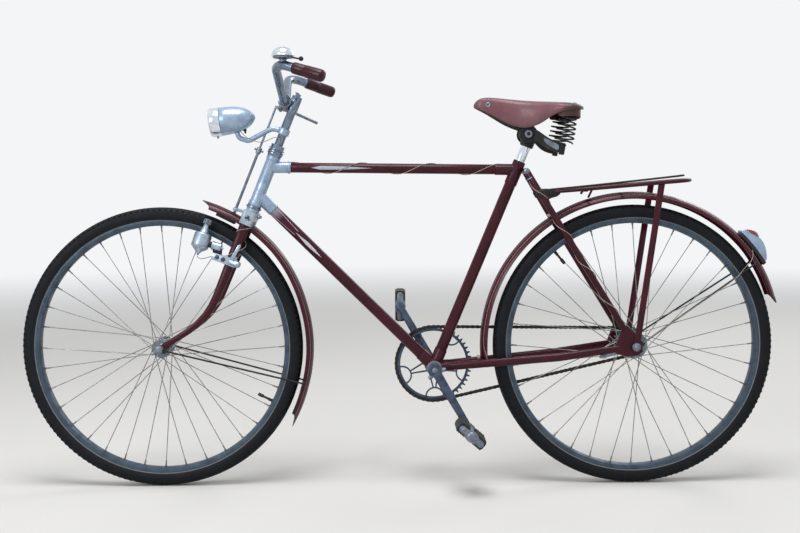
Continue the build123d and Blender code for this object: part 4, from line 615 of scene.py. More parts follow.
def spokes(name, centre, flange_y, flange_radius, body, node_name):
    step = 360 / SPOKES_PER_SIDE
    wires = []
    for side in (-1, 1):
        for outward in (-1, 1):
            angle = (step if outward > 0 else 0) + (step / 2 if side > 0 else 0)
            beside = side * (flange_y + outward * 2.8)
            start = on_wheel(centre, flange_radius - 4, angle, beside)
            end = on_wheel(centre, 309.7, angle + outward * SPOKES_CROSSED * step, side * 2.5)
            length = (end - start).length * 1000
            outline = [(-2.2, 0), (-2.2, 1.6), (-0.8, 2), (0.6, 1.1), (length - 15, 1), (length - 14.4, 1.8),
                       (length - 4, 1.9), (length - 3.6, 2.6), (length, 2.6), (length, 0)]
            wires.append(repeated(turned(name, outline, start, end - start, 8), SPOKES_PER_SIDE // 2,
                                  place(*centre)))
    return finish_piece(joined(name, wires), body, spoke_steel, "steel", [node_name])


front_spokes = spokes("front_spoke_wires", FRONT_WHEEL, 31, 24, "front_wheel", "front_spokes")
spokes("rear_spoke_wires", REAR_WHEEL, 29, 34, "rear_wheel", "rear_spokes")
print("spokes:", len(front_spokes.data.polygons), "faces on the front wheel")

# %% [markdown]
# ## Hubs, nuts and valves
# The front hub is a slim turned barrel between two flanges. The coaster hub is far fatter, because the brake
# sits inside it. Domed caps cover the axle ends, and each rim carries a valve with a ribbed rubber neck.

# %% Hubs
finish_turned("front_hub_shell", mirrored([
    (36, 4.9), (36, 10), (35, 11.4), (33.6, 12.6), (32.6, 13.4), (32.5, 23.4), (31.9, 24), (30.1, 24),
    (29.5, 23.4), (29.2, 14.6), (25, 12), (14, 10.4), (5, 10),
]) + [(36, 4.9)], place(*FRONT_WHEEL), AXLE_WAY, 40, "front_wheel", plated_steel, "steel", ["front_hub"])
finish_turned("rear_hub_shell", mirrored([
    (41, 4.9), (41, 20), (39.6, 22.6), (36, 24.6), (30.7, 25), (30.5, 33.4), (29.9, 34), (28.1, 34),
    (27.5, 33.4), (27.3, 25), (20, 22.6), (8, 21.6),
]) + [(41, 4.9)], place(*REAR_WHEEL), AXLE_WAY, 48, "rear_wheel", plated_steel, "steel", ["rear_hub"])

# %% Axle nuts and washers
AXLE_WASHER = [(0, 5.5), (0, 10.2), (0.4, 10.6), (1.4, 10.6), (1.6, 10.2), (1.6, 5.5), (0, 5.5)]
AXLE_NUT = [(1.6, 5), (1.6, 8.6), (2.2, 9.2), (7.4, 9.2), (8, 8.4), (8, 5)]
AXLE_CAP = [(7.6, 7.4), (8.4, 7.4), (9.4, 5.4), (10.6, 3), (11, 0)]


def axle_end(name, centre, side, inner, body):
    """A washer, a hexagon nut and a domed cap at one end of an axle."""
    start = place(centre[0], side * inner, centre[2])
    across = (0, side, 0)
    washer = turned(name + "_washer", AXLE_WASHER, start, across, 32)
    nut = turned(name + "_nut", AXLE_NUT, start, across, 6)
    cap = turned(name + "_cap", AXLE_CAP, start, across, 24)
    finish_piece(joined(name, [washer, nut, cap]), body, plated_steel, "steel")


for side, word in SIDES:
    axle_end("front_axle_nut_" + word, FRONT_WHEEL, side, 53, "steering")
    axle_end("rear_axle_nut_" + word, REAR_WHEEL, side, 63, "frame")

# %% Valves


def valve(name, centre, degrees, body):
    foot, top = on_wheel(centre, 311, degrees), on_wheel(centre, 270, degrees)
    outline = [(0, 0), (0, 6.5), (1.4, 6.5), (2, 4), (12, 3.6), (13, 3), (26, 3), (26.6, 4.4), (39, 4.2),
               (41, 3), (41, 0)]
    finish_turned(name, outline, foot, top - foot, 16, body, pedal_rubber, "black_rubber")


valve("front_valve", FRONT_WHEEL, -27, "front_wheel")
valve("rear_valve", REAR_WHEEL, 129.8, "rear_wheel")

# %% [markdown]
# ## Frame and fork
# Tubes, lugs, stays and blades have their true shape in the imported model. Their copies get soft edges here.

# %% Enamelled frame
TUBE_ENAMEL = {"top_tube": top_enamel, "down_tube": down_enamel}
for name in ("top_tube", "down_tube", "seat_tube", "bottom_bracket", "chain_stays", "seat_stays",
             "stay_bridges", "rack_platform", "rack_legs"):
    finish_piece(copy_of(name, 0.4), "frame", TUBE_ENAMEL.get(name, maroon_enamel), "frame_paint", angle=42)
finish_piece(copy_of("fork_blades", 0.4), "steering", maroon_enamel, "frame_paint", angle=42)
finish_piece(copy_of("head_tube", 0.5), "frame", silver_enamel, "silver_paint")
finish_piece(copy_of("fork_crown", 0.6), "steering", chipped_silver, "silver_paint")

# %% Bright parts of frame and steering
for name, body in (("headset_cups", "frame"), ("headset_nuts", "steering"), ("seat_post", "frame"),
                   ("stem", "steering"), ("handlebar", "steering")):
    finish_piece(copy_of(name, 0.4), body, bright_chrome if name == "seat_post" else chrome, "chrome")
for name, body in (("brake_lever", "steering"), ("brake_rod", "steering"), ("bracket_cups", "frame"),
                   ("brake_arm", "frame"), ("rear_axle", "frame"), ("front_axle", "steering"),
                   ("rear_sprocket", "frame")):
    finish_piece(copy_of(name, 0.3), body, plated_steel, "chrome" if name == "brake_lever" else "steel")
for name in ("chainring", "crank_axle", "left_crank", "right_crank"):
    finish_piece(copy_of(name, 0.5 if "crank" in name else 0.25), "crankset", crank_steel, "steel")
finish_piece(copy_of("lamp_bracket", 0.8), "steering", silver_enamel, "lamp_grey")

# %% [markdown]
# Lug ends carry a raised ring, and bolts close the clamps. A bolt head is a low dome with a washer under it.

# %% Rings and bolts
HEAD_TOP = place(-924.5, 0, 456.5)
TOP_ALONG = (SEAT_LUG - HEAD_TOP).normalized()
LUG_RING = [(0, 13.2), (0, 15.3), (0.5, 15.8), (4.5, 15.8), (5, 15.3), (5, 13.2), (0, 13.2)]


def bolt(name, where, direction, radius, height, body, material=plated_steel):
    washer = radius * 1.25
    outline = [(0, 0), (0, washer), (1, washer), (1.2, radius), (height * 0.7, radius),
               (height, radius * 0.6), (height, 0)]
    finish_turned(name, outline, where, direction, 20, body, material, "steel")


finish_turned("top_lug_ring", LUG_RING, HEAD_TOP + TOP_ALONG * 0.0485, TOP_ALONG, 40, "frame", silver_enamel,
              "silver_paint")
for side, word in SIDES:
    bolt("seat_bolt_" + word, place(-274, side * 32.4, 443.5), (0, side, 0), 6.2, 5, "frame")
    bolt("crown_bolt_" + word, place(-953.8, side * 14, 330.1), (1, 0, 0), 4, 8, "steering")
    bolt("bracket_pin_" + word, BRACKET + Vector((0, side * 0.0695, 0)), (0, side, 0), 5.6, 4, "crankset")
bolt("stem_bolt", place(-851, 0, 642.5), HEAD_UP, 5, 2.4, "steering")
bolt("bar_clamp_bolt", place(-879.5, -9, 604), (0, -1, 0), 4, 9, "steering")

# %% [markdown]
# Each cottered crank is locked by a pin that crosses its eye: a nut shows on one side and the pin's flat end
# on the other.

# %% Cotter pins
COTTER_PIN = [(0, 0), (0, 3.8), (1, 4.6), (44, 4.6), (44, 3.2), (50, 3), (50, 0)]
COTTER_NUT = [(42, 3.2), (42, 6.2), (47, 6.2), (47.4, 5.4), (47.4, 3.2), (42, 3.2)]
for side, word in SIDES:
    along = heading(CRANK_ANGLE + (180 if side > 0 else 0))
    across = Vector((-along.z, 0, along.x))
    start = BRACKET + along * 0.0105 + Vector((0, side * 0.063, 0)) - across * 0.024
    pin = turned("cotter_" + word, COTTER_PIN, start, across, 16)
    nut = turned("cotter_nut", COTTER_NUT, start, across, 6)
    finish_piece(joined("cotter_pin_" + word, [pin, nut]), "crankset", plated_steel, "steel")

# %% [markdown]
# ## Chain
# The chain has 114 links of 12.7 mm. An outer link has two plates and two pins, an inner link two plates and
# two rollers. Each kind is modelled once and copied along the run, which follows the ring, the lower run, the
# sprocket and the upper run.

# %% Places of the rollers
PITCH = 12.7
LINKS = 114
RING_TEETH, SPROCKET_TEETH = 48, 18
RING_RADIUS = PITCH / (2 * math.sin(math.pi / RING_TEETH))
SPROCKET_RADIUS = PITCH / (2 * math.sin(math.pi / SPROCKET_TEETH))
CHAIN_SIDE = 46


def roller_places():
    """Each roller's place along the ring, the lower run, the sprocket and the upper run."""
    centre = BRACKET - REAR_AXLE
    distance = Vector((centre.x, centre.z)).length * 1000
    lean = math.asin((RING_RADIUS - SPROCKET_RADIUS) / distance)
    on_ring = (math.pi + 2 * lean) * RING_TEETH / math.tau
    on_sprocket = (math.pi - 2 * lean) * SPROCKET_TEETH / math.tau
    run = (LINKS - on_ring - on_sprocket) / 2
    line = math.degrees(math.atan2(-centre.z, -centre.x))
    upper, lower = line + 90 - math.degrees(lean), line + 270 + math.degrees(lean)
    ring_at = (centre.x * 1000, 0, centre.z * 1000)

    def on_front(degrees):
        return on_wheel(ring_at, RING_RADIUS, degrees, CHAIN_SIDE)

    def on_back(degrees):
        return on_wheel(REAR_WHEEL, SPROCKET_RADIUS, degrees, CHAIN_SIDE)

    places = []
    for index in range(LINKS):
        below = index - on_ring
        behind = below - run
        if below <= 0:
            places.append(on_front(upper + index * 360 / RING_TEETH))
        elif behind <= 0:
            places.append(on_front(lower).lerp(on_back(lower), below / run))
        elif behind <= on_sprocket:
            places.append(on_back(lower + behind * 360 / SPROCKET_TEETH))
        else:
            places.append(on_back(upper).lerp(on_front(upper), (behind - on_sprocket) / run))
    return places


rollers = roller_places()
print("chain pitch:", round((rollers[1] - rollers[0]).length * 1000, 2), "mm")

# %% One link of each kind


def link_plate(name, inner, outer):
    """A side plate like a figure of eight, drawn about its first roller with the second one along +X."""
    corners = []
    for middle, first, waist in ((0, 90, -3.1), (PITCH, -90, 3.1)):
        for step in range(6):
            turn = math.radians(first + step * 36)
            corners.append((middle + 4.2 * math.cos(turn), 4.2 * math.sin(turn)))
        corners.append((PITCH / 2, waist))
    piece = plate(name, corners, inner, outer)
    piece.data.transform(Matrix.Translation(-REAR_AXLE))
    return soften(piece, 0.2, 1)


def link(name, plate_inner, plate_outer, core_radius, core_half):
    parts = [link_plate(name, plate_inner, plate_outer), link_plate(name, -plate_outer, -plate_inner)]
    for middle in (0, PITCH):
        start = Vector((middle, -core_half, 0)) / 1000
        parts.append(bar(name, start, start + Vector((0, 2 * core_half / 1000, 0)), core_radius, 10))
    return joined(name, parts)


outer_link = link("outer_link", 3.2, 4.2, 1.8, 4.6)
inner_link = link("inner_link", 2.1, 3.1, 3.85, 2.05)

# %% The whole chain
copies = []
for index, here in enumerate(rollers):
    after = rollers[(index + 1) % LINKS]
    along = (after - here).normalized()
    turn = Matrix((along, AXLE_WAY, along.cross(Vector(AXLE_WAY)))).transposed().to_4x4()
    source = outer_link if index % 2 else inner_link
    piece = bpy.data.objects.new("link", source.data.copy())
    bpy.context.collection.objects.link(piece)
    piece.data.transform(Matrix.Translation(here) @ turn)
    copies.append(piece)
for pattern in (outer_link, inner_link):
    bpy.data.objects.remove(pattern)
chain = finish_piece(joined("chain_links", copies), "frame", chain_steel, "chain_steel", ["chain"], 30)
print("chain:", len(chain.data.polygons), "faces")

# %% [markdown]
# ## Saddle
# The top is one piece of thick cowhide, wetted and pressed over a former, so it is far too stiff for a cloth
# simulation. A grid is moved onto the sections of the former, smoothed by subdivision, and then given the
# thickness of the hide.

# %% Helpers for pressed sheets


def pressed_sheet(name, rows, centre):
    """A grid whose points are moved to rows of places, with its faces turned away from a centre."""
    across, along = len(rows[0]), len(rows)
    bpy.ops.mesh.primitive_grid_add(x_subdivisions=across - 1, y_subdivisions=along - 1, location=(0, 0, 0))
    piece = bpy.context.object
    for vertex, where in zip(piece.data.vertices, sum(rows, [])):
        vertex.co = where
    piece.data.update()
    piece.name = name
    outward = sum((face.center - centre).dot(face.normal) * face.area for face in piece.data.polygons)
    if outward < 0:
        edit(piece)
        bpy.ops.mesh.flip_normals()
        close_edit()
    return piece


def thickened(piece, thickness_mm, levels=2, offset=-1.0):
    """Rounds a sheet by subdivision and gives it its wall."""
    rounded = piece.modifiers.new("rounded", "SUBSURF")
    rounded.levels = rounded.render_levels = levels
    wall = piece.modifiers.new("wall", "SOLIDIFY")
    wall.thickness = thickness_mm / 1000
    wall.offset = offset
    return apply_modifiers(piece)

# %% [markdown]
# Saddle leather is vegetable tanned hide, waxed on its surface. It has a fine pebbled grain, it is smoother
# and browner where it was rubbed, and it is almost black along the lower edge of its skirt and over its
# burnished rear roll. An attribute on the mesh marks these darker parts.

# %% Leathers


def darkened_edge_and_rear(tree, here, spread):
    """Darkens the hide along the lower edge of its skirt and over its rear roll."""
    edge = node(tree, "Attribute", "Fac", attribute_name="darkening")
    rub = node(tree, "ValToRGB", "Color", {"Fac": edge}, [(0.45, 0), (0.95, 1)])
    return node(tree, "Mix", 2, {"Factor": rub, 6: spread, 7: colour("#452826")}, data_type="RGBA")


# The purple cast in the hide's colour is painted sky light.
saddle_hide = worn_surface("waxed saddle leather", "#74454e", "#603943", 55, 0.42, 0.56, 1.8, 0.35, coat=0.12,
                           speck="#5f3634", speck_mm=7.0, speck_share=0.2, shade=darkened_edge_and_rear)
dark_hide = worn_surface("dark folded leather", "#4a2622", "#331d1b", 18, 0.5, 0.66, 1.8, 0.4,
                         speck="#7a3a30", speck_mm=9.0, speck_share=0.5)

# %% Saddle leather
# Columns: place along the bicycle, half width, height of the crown, height of the skirt's edge
SADDLE_SECTIONS = [
    (-405, 5, 610, 606), (-402.5, 12, 617, 602.5), (-391, 20.5, 627.4, 598), (-372, 24, 630, 588),
    (-350, 25, 628.6, 576.5), (-322, 28.5, 625.6, 560.5), (-296, 34.5, 623, 551.5), (-270, 45, 620.6, 550),
    (-243, 61, 618.8, 559), (-222, 78, 617.2, 575), (-203, 90, 615.6, 585.5), (-182, 98.5, 613.8, 590),
    (-164, 98.5, 612, 592), (-150, 91, 609.6, 592.5), (-140, 74, 606.4, 593), (-134, 48, 603.6, 594.5),
]
# Columns: share of the half width, share of the drop from the crown to the edge
SKIRT_CURVE = [(0, 0), (0.28, 0.01), (0.55, 0.03), (0.78, 0.09), (0.92, 0.22), (0.985, 0.42), (1, 0.66),
               (0.985, 0.86), (0.96, 1)]
SKIRT_HALF = [(-share, drop) for share, drop in reversed(SKIRT_CURVE[1:])] + SKIRT_CURVE
# The edge is darker, a little less one column in, and the rear darkens from one row over the next ones
EDGE_DARKENING = {0: 1, 1: 0.25}
REAR_ROWS = (9.8, 1.1)
saddle_rows = [[place(x, share * half, top - drop * (top - skirt)) for share, drop in SKIRT_HALF]
               for x, half, top, skirt in SADDLE_SECTIONS]
leather = pressed_sheet("saddle_top", saddle_rows, place(-250, 0, 540))
darkening = leather.data.attributes.new("darkening", "FLOAT", "POINT")
for index, spot in enumerate(darkening.data):
    row, column = divmod(index, len(SKIRT_HALF))
    inwards = min(column, len(SKIRT_HALF) - 1 - column)
    rear = min(1, max(0, (row - REAR_ROWS[0]) / REAR_ROWS[1]))
    spot.value = max(EDGE_DARKENING.get(inwards, 0), rear)
thickened(leather, 4.2)
finish_piece(leather, "frame", saddle_hide, "leather", ["saddle_leather"], 60)
print("saddle leather:", len(leather.data.polygons), "faces")

# %% [markdown]
# Hollow rivets hold the hide to the nose and to the rear plate. Each rivet is seated by sending a ray onto
# the leather, which gives the place and the slope of the surface there.

# %% Saddle rivets


def saddle_rivet(name, start, direction, outline):
    """A rivet on the leather, where a ray meets it."""
    bpy.context.view_layer.update()
    hit, where, normal, _ = leather.ray_cast(start, direction)
    if not hit:
        raise ValueError(name + " has nothing to sit on")
    finish_turned(name, outline, where, normal, 20, "frame", plated_steel, "steel")


EYELET = [(-1.5, 6.4), (0.3, 6.6), (1.1, 5.6), (1.2, 4.4), (0.4, 2.6), (-1, 2.2), (-1.5, 2.2), (-1.5, 6.4)]
DOME_RIVET = [(-1.5, 0), (-1.5, 5), (0.2, 5), (1.2, 3.6), (1.6, 1.6), (1.7, 0)]
for side, word in SIDES:
    saddle_rivet("nose_rivet_" + word, place(-370.3, side * 60, 609.3), (0, -side, 0), EYELET)
for index, y in enumerate((-76, -42, 0, 42, 76)):
    saddle_rivet(f"rear_rivet_{index}", place(-152 - abs(y) * 0.1, y, 700), (0, 0, -1), DOME_RIVET)

# %% [markdown]
# Under the leather sits the saddle's iron: a serrated clamp on the post, two rails to the nose, flat arms
# back to the springs and a folded plate under the rear edge. The springs are real helices of 4.4 mm wire.

# %% Rear plate and arms of the saddle
PLATE_CURVE = [(-203, 80), (-190, 88), (-174, 92), (-160, 89), (-149, 78), (-143, 60), (-139, 34), (-138, 0)]
plate_plan = [(x, -y) for x, y in PLATE_CURVE] + [(x, y) for x, y in reversed(PLATE_CURVE[:-1])]
plate_rows = [[place(x, y, z + abs(y) * 0.03) for x, y in plate_plan] for z in (600, 588, 574)]
finish_piece(thickened(pressed_sheet("saddle_rear_plate", plate_rows, place(-190, 0, 588)), 3), "frame",
             dark_hide, "leather")
# Columns: upper edge (x, z), lower edge (x, z), distance from the middle
ARM_EDGES = [((-266, 556), (-262, 524), 26), ((-246, 544), (-244, 516), 36), ((-231, 531), (-232, 503), 48),
             ((-216, 521), (-218, 494), 57), ((-200, 515), (-205, 490), 60), ((-186, 512), (-192, 486), 60)]
SHOE_EDGES = [[(-238, 528), (-223, 519), (-208, 512), (-196, 508)],
              [(-234, 514), (-221, 505), (-208, 497), (-198, 491)]]
for side, word in SIDES:
    arm_rows = [[place(edge[row][0], side * edge[2], edge[row][1]) for edge in ARM_EDGES] for row in (0, 1)]
    arm = thickened(pressed_sheet("saddle_arm_" + word, arm_rows, place(-230, 0, 520)), 5, 2, 0)
    finish_piece(arm, "frame", black_enamel, "black_enamel")
    shoe_rows = [[place(x, side * 64.5, z) for x, z in edge] for edge in SHOE_EDGES]
    shoe = thickened(pressed_sheet("spring_seat_" + word, shoe_rows, place(-200, 0, 500)), 3, 1, 0)
    finish_piece(shoe, "frame", plated_steel, "steel")
    finish_plate("spring_foot_" + word, [(-198, 484), (-185, 482), (-180, 510), (-193, 514)], side * 52,
                 side * 67, 2, 3, "frame", black_enamel, "black_enamel")

# %% Clamp, rails and springs of the saddle
CLAMP = place(-269.7, 0, 536)
CLAMP_CHEEK = [(0, 0), (0, 21), (2, 23.5), (9, 23.5), (11, 21), (11, 14), (12, 13), (13.5, 13), (13.5, 0)]
irons = [bar("clamp_barrel", CLAMP + Vector((0, -0.03, 0)), CLAMP + Vector((0, 0.03, 0)), 15, 32)]
POST_CLAMP = [(-16, 13.2), (-16, 16), (-14, 17.5), (10, 17.5), (12, 15), (12, 0), (-16, 0)]
irons.append(turned("post_clamp", POST_CLAMP, place(-266.3, 0, 520), heading(SEAT_ANGLE)))
RAIL = [(-272, 22, 543), (-296, 24, 551), (-322, 22, 561.5), (-350, 16, 577.5), (-390, 9, 602)]
CLAMP_NUT = [(0, 0), (0, 9.2), (1, 9.8), (4.5, 9.8), (5.5, 8.6), (5.5, 4.6), (2.5, 4.2), (2.5, 0)]
STUD = [(0, 0), (0, 4.4), (3.6, 4.4), (4.4, 3.4), (4.4, 0)]
for side, word in SIDES:
    outward, outer = (0, side, 0), CLAMP + Vector((0, side * 0.034, 0))
    irons.append(turned("cheek", CLAMP_CHEEK, CLAMP + Vector((0, side * 0.0205, 0)), outward, 40))
    irons.append(tube("rail", [place(x, side * y, z) for x, y, z in RAIL], 3.3))
    finish_turned("clamp_nut_" + word, CLAMP_NUT, outer, outward, 24, "frame", plated_steel, "steel")
    irons.append(turned("stud", STUD, outer, outward, 16))
irons.append(bar("nose_bar", place(-388, -17, 604), place(-388, 17, 604), 5))
finish_piece(joined("saddle_irons", irons), "frame", black_enamel, "black_enamel", ["saddle_frame"])
SPRING_TURNS, SPRING_STEPS = 5, 12
SPRING_LEAN = Matrix.Rotation(math.radians(11), 3, "Y")
coils = []
for side in (-1, 1):
    spiral = []
    for step in range(SPRING_TURNS * SPRING_STEPS + 1):
        share = step / (SPRING_TURNS * SPRING_STEPS)
        turn = math.tau * step / SPRING_STEPS
        radius = 22.0 + 3.0 * share - 2.4 * (2 * share - 1) ** 4
        around = Vector((radius * math.cos(turn), side * 60 + radius * math.sin(turn), -60.0 * share)) / 1000
        spiral.append(place(-174, 0, 573) + SPRING_LEAN @ around)
    coils.append(tube("spring", spiral, 2.2, resolution=3, sides=2))
    lid = [(0, 0), (0, 15), (1, 17), (3, 17), (4, 14), (9, 11), (16, 9), (16, 0)]
    coils.append(turned("spring_lid", lid, place(-175, side * 60, 572), SPRING_LEAN @ Vector((0, 0, 1)), 28))
finish_piece(joined("saddle_coils", coils), "frame", black_enamel, "black_enamel", ["saddle_springs"])

# %% [markdown]
# ## Lamps and dynamo
# The headlamp is a pointed shell of painted sheet, closed by a chromium ring that holds the lens. Behind the
# clear glass sits a dished reflector with a small bulb.

# %% Glass
lens_glass, tree, shader, here = blank_material("pressed lamp glass")
flutes = node(tree, "TexWave", "Fac", {"Vector": here, "Scale": math.tau / 20 * per_metre(6)},
              bands_direction="Y")
relief = node(tree, "Bump", "Normal", {"Height": flutes, "Strength": 0.5, "Distance": 0.001})
set_inputs(tree, shader, {"Normal": relief, "Base Color": colour("#eef3f4"), "Roughness": 0.06,
                          "Transmission Weight": 0.85, "IOR": 1.5})
red_glass, tree, shader, here = blank_material("moulded red lens")
cells = node(tree, "TexVoronoi", "Distance", {"Vector": here, "Scale": per_metre(3)})
relief = node(tree, "Bump", "Normal", {"Height": cells, "Strength": 0.35, "Distance": 0.0008})
tone = node(tree, "ValToRGB", "Color", {"Fac": cells}, [(0.1, "#8c1020"), (0.7, "#5a0812")])
set_inputs(tree, shader, {"Normal": relief, "Base Color": tone, "Roughness": 0.12, "Coat Weight": 0.6})

# %% Headlamp
LAMP_BACK = place(-957.76, 0, 584.03)
LAMP_NOD = 7.7
LAMP_AXIS = -heading(LAMP_NOD)
LAMP_DOWN = Vector((-LAMP_AXIS.z, 0, LAMP_AXIS.x))
finish_turned("headlamp_bowl", [
    (0, 0), (0, 3.6), (1.5, 6.5), (6, 12.6), (12, 18.4), (20, 23.9), (30, 28.5), (42, 31.9), (56, 34.2),
    (72, 35.3), (86.5, 35.6), (87.2, 35), (87.2, 0),
], LAMP_BACK, LAMP_AXIS, 72, "steering", silver_enamel, "lamp_grey", ["headlamp_shell"], 50)
finish_turned("headlamp_ring", [
    (87.8, 30.6), (87.8, 35.9), (88.6, 36.5), (100, 36.6), (107, 36.3), (112, 35.2), (114.6, 33.4),
    (115.2, 31.8), (114.6, 30.9), (112, 30.6), (87.8, 30.6),
], LAMP_BACK, LAMP_AXIS, 72, "steering", bright_chrome, "chrome", ["headlamp_bezel"], 50)
DISH = [(108, 30.4), (100, 27.5), (93, 21.5), (89.5, 14), (88.4, 6), (92, 5.8), (97, 4), (99, 0)]
finish_turned("headlamp_reflector", DISH, LAMP_BACK, LAMP_AXIS, 48, "steering", chrome, "chrome")
GLASS = [(109, 0), (109, 30.4), (112, 30.4), (114, 27), (115.6, 20), (116.6, 10), (117, 0)]
finish_turned("headlamp_glass", GLASS, LAMP_BACK, LAMP_AXIS, 64, "steering", lens_glass, "clear_lens",
              ["headlamp_lens"], 60)
bolt("bezel_screw", LAMP_BACK + LAMP_AXIS * 0.1 + LAMP_DOWN * 0.0365, LAMP_DOWN, 2.6, 5, "steering")
TERMINAL = [(-3, 0), (-3, 4.2), (3, 4.2), (4, 2.6), (9, 2.2), (9, 0)]
finish_turned("lamp_terminal", TERMINAL, LAMP_BACK + LAMP_AXIS * 0.03 + LAMP_DOWN * 0.029, LAMP_DOWN, 12,
              "steering", black_enamel, "black_enamel")

# %% [markdown]
# The bottle dynamo is a turned aluminium body whose knurled roller stands beside the tyre. A hinge drum and a
# flat arm carry it, and two bolts and a bright strap clamp that arm to the fork blade.

# %% Dynamo
DYNAMO_TOP, DYNAMO_LOW = place(-1074, -37, 326.5), place(-1100.5, -55, 242)
DYNAMO_DOWN = (DYNAMO_LOW - DYNAMO_TOP).normalized()
finish_turned("dynamo_body", [
    (13, 0), (13, 6), (20, 7.4), (28, 9.8), (34, 11.8), (36, 13.5), (37, 18.5), (39, 21), (42, 22),
    (68, 22.4), (68.6, 21.4), (70.2, 21.4), (70.8, 22.4), (73, 21.6), (77, 17.5), (81, 12), (84, 8.5),
    (87, 6.5), (89, 5.6), (89.4, 4.2), (94, 4), (94, 0),
], DYNAMO_TOP, DYNAMO_DOWN, 48, "steering", cast_aluminium, "steel", ["dynamo"], 50)
roller = turned("dynamo_roller", [(0, 0), (0, 7.6), (1.2, 9), (1.2, 0)], DYNAMO_TOP, DYNAMO_DOWN, 32)
rib_at = DYNAMO_TOP + (Vector((0, -1, 0)).cross(DYNAMO_DOWN)).normalized() * 0.009
rib = turned("roller_rib", [(1.2, 0), (1.2, 1), (12.4, 1), (12.4, 0)], rib_at, DYNAMO_DOWN, 6)
repeated(rib, 24, DYNAMO_TOP, DYNAMO_DOWN)
drum_core = turned("roller_core", [(1.2, 0), (1.2, 9), (12.4, 9), (13.4, 6), (13.4, 0)], DYNAMO_TOP,
                   DYNAMO_DOWN, 32)
finish_piece(joined("dynamo_roller", [roller, rib, drum_core]), "steering", plated_steel, "steel", angle=30)
hinge_start, hinge_end = place(-1064, -50, 262.5), place(-1038, -50, 254.5)
hinge = turned("dynamo_hinge", [
    (-1, 0), (-1, 9.6), (0.5, 11.2), (2.5, 11.2), (3.2, 10.4), (19, 10.4), (19.7, 11.2), (23, 11.2),
    (24.5, 9.4), (24.5, 4.4), (29, 4), (29, 0),
], hinge_start, hinge_end - hinge_start, 36)
arm_start, arm_end = place(-1062, 0, 236), place(-1004, 0, 216)
arm_run = (arm_end - arm_start).normalized()
arm_up = Vector((-arm_run.z, 0, arm_run.x))
corners = [arm_start + arm_up * 0.009, arm_start - arm_run * 0.005, arm_start - arm_up * 0.009,
           arm_end - arm_up * 0.011, arm_end + arm_run * 0.006, arm_end + arm_up * 0.0105]
outline = [((corner - REAR_AXLE).x * 1000, (corner - REAR_AXLE).z * 1000) for corner in corners]
arm_plate = soften(plate("arm_plate", outline, -59, -54.5), 1.2, 2)
clamp_screw = turned("clamp_screw", [
    (0, 0), (0, 5.6), (12, 6.6), (14, 8), (22, 8.4), (26, 7.6), (28.5, 5), (29.5, 0),
], place(-1020, -62.5, 221), arm_run, 28)
clip_plate = soften(plate("clip_plate", [(-1022, 211), (-1010, 207), (-1001, 232), (-1013, 237)], -57, -45.5),
                    1.2, 2)
spring_box = soften(plate("spring_box", [(-1063, 258), (-1039, 250), (-1041, 230), (-1061, 236)], -57, -44),
                    2, 3)
collar = bar("collar", place(-1080, -50, 267), place(-1062, -50, 262), 8, 24)
finish_piece(joined("dynamo_spring_box", [spring_box, collar]), "steering", black_enamel, "black_enamel")
arm_pieces = [hinge, arm_plate, clamp_screw, clip_plate]
finish_piece(joined("dynamo_arm", arm_pieces), "steering", cast_aluminium, "steel", ["dynamo_bracket"])
for index, (x, z) in enumerate(((-1051, 233), (-1036, 227))):
    bolt(f"dynamo_arm_bolt_{index}", place(x, -58.8, z), (0, -1, 0), 4.6, 3.6, "steering", crank_steel)
STRAP_EDGES = [(-1019, 228), (-1010, 224), (-990, 260), (-992, 265), (-998, 262)]
finish_plate("dynamo_strap", STRAP_EDGES, -62, -58.5, 0.8, 2, "steering", cast_aluminium, "steel")

# %% [markdown]
# The rear lamp stands on a dark rubber gasket on the mudguard. Its body is a rounded casting, and a domed red
# lens closes its upper end.

# %% Rear lamp
GUARD_RADIUS = 386
LAMP_ANGLE, DOME_ANGLE = 38.8, 61.6
LENS_OVAL = 0.78


def beside_guard(along, rise):
    """Place on the drawing, from millimetres along the rear mudguard at the lamp, and above it."""
    turn = math.radians(LAMP_ANGLE) + along / GUARD_RADIUS
    return (GUARD_RADIUS + rise) * math.cos(turn), (GUARD_RADIUS + rise) * math.sin(turn)


gasket = [beside_guard(along, 1) for along in (-50, -30, -10, 10, 30, 50)]
gasket += [beside_guard(along, 10.5) for along in (48, 30, 10, -10, -30, -49)]
finish_plate("rear_lamp_gasket", gasket, -18.5, 18.5, 2, 3, "frame", pedal_rubber, "black_rubber")
LAMP_CASTING = [beside_guard(48, 9), (273, 289), (282, 291), (303, 280), (323, 269), (330, 259), (335.5, 246),
                (338.5, 231), (339.5, 218), (336, 210), beside_guard(-46, 9), beside_guard(-20, 8),
                beside_guard(20, 8)]
casting = soften(plate("rear_lamp_casting", LAMP_CASTING, -17, 17), 5.5, 5, 50)
finish_piece(casting, "frame", silver_enamel, "lamp_grey", ["rear_lamp_body"], 60)
dome = turned("rear_lamp_dome", [
    (-3, 0), (-3, 19.6), (-0.2, 19.6), (0.6, 21.2), (1.6, 21.2), (2.4, 19.8), (5.5, 17.6), (8.5, 13.6),
    (10.8, 8.6), (12, 4), (12.4, 0),
], place(304.5, 0, 279.2), heading(DOME_ANGLE), 48)
dome.data.transform(Matrix.Diagonal((1, LENS_OVAL, 1, 1)))
finish_piece(dome, "frame", red_glass, "red_lens", ["rear_lamp_lens"], 60)

# %% [markdown]
# ## Bell and grips
# The bell is a chromium dome over a gear case, with a dark thumb lever. The grips are moulded in two steps: a
# slimmer sleeve in front and a thicker, rounded part for the palm.

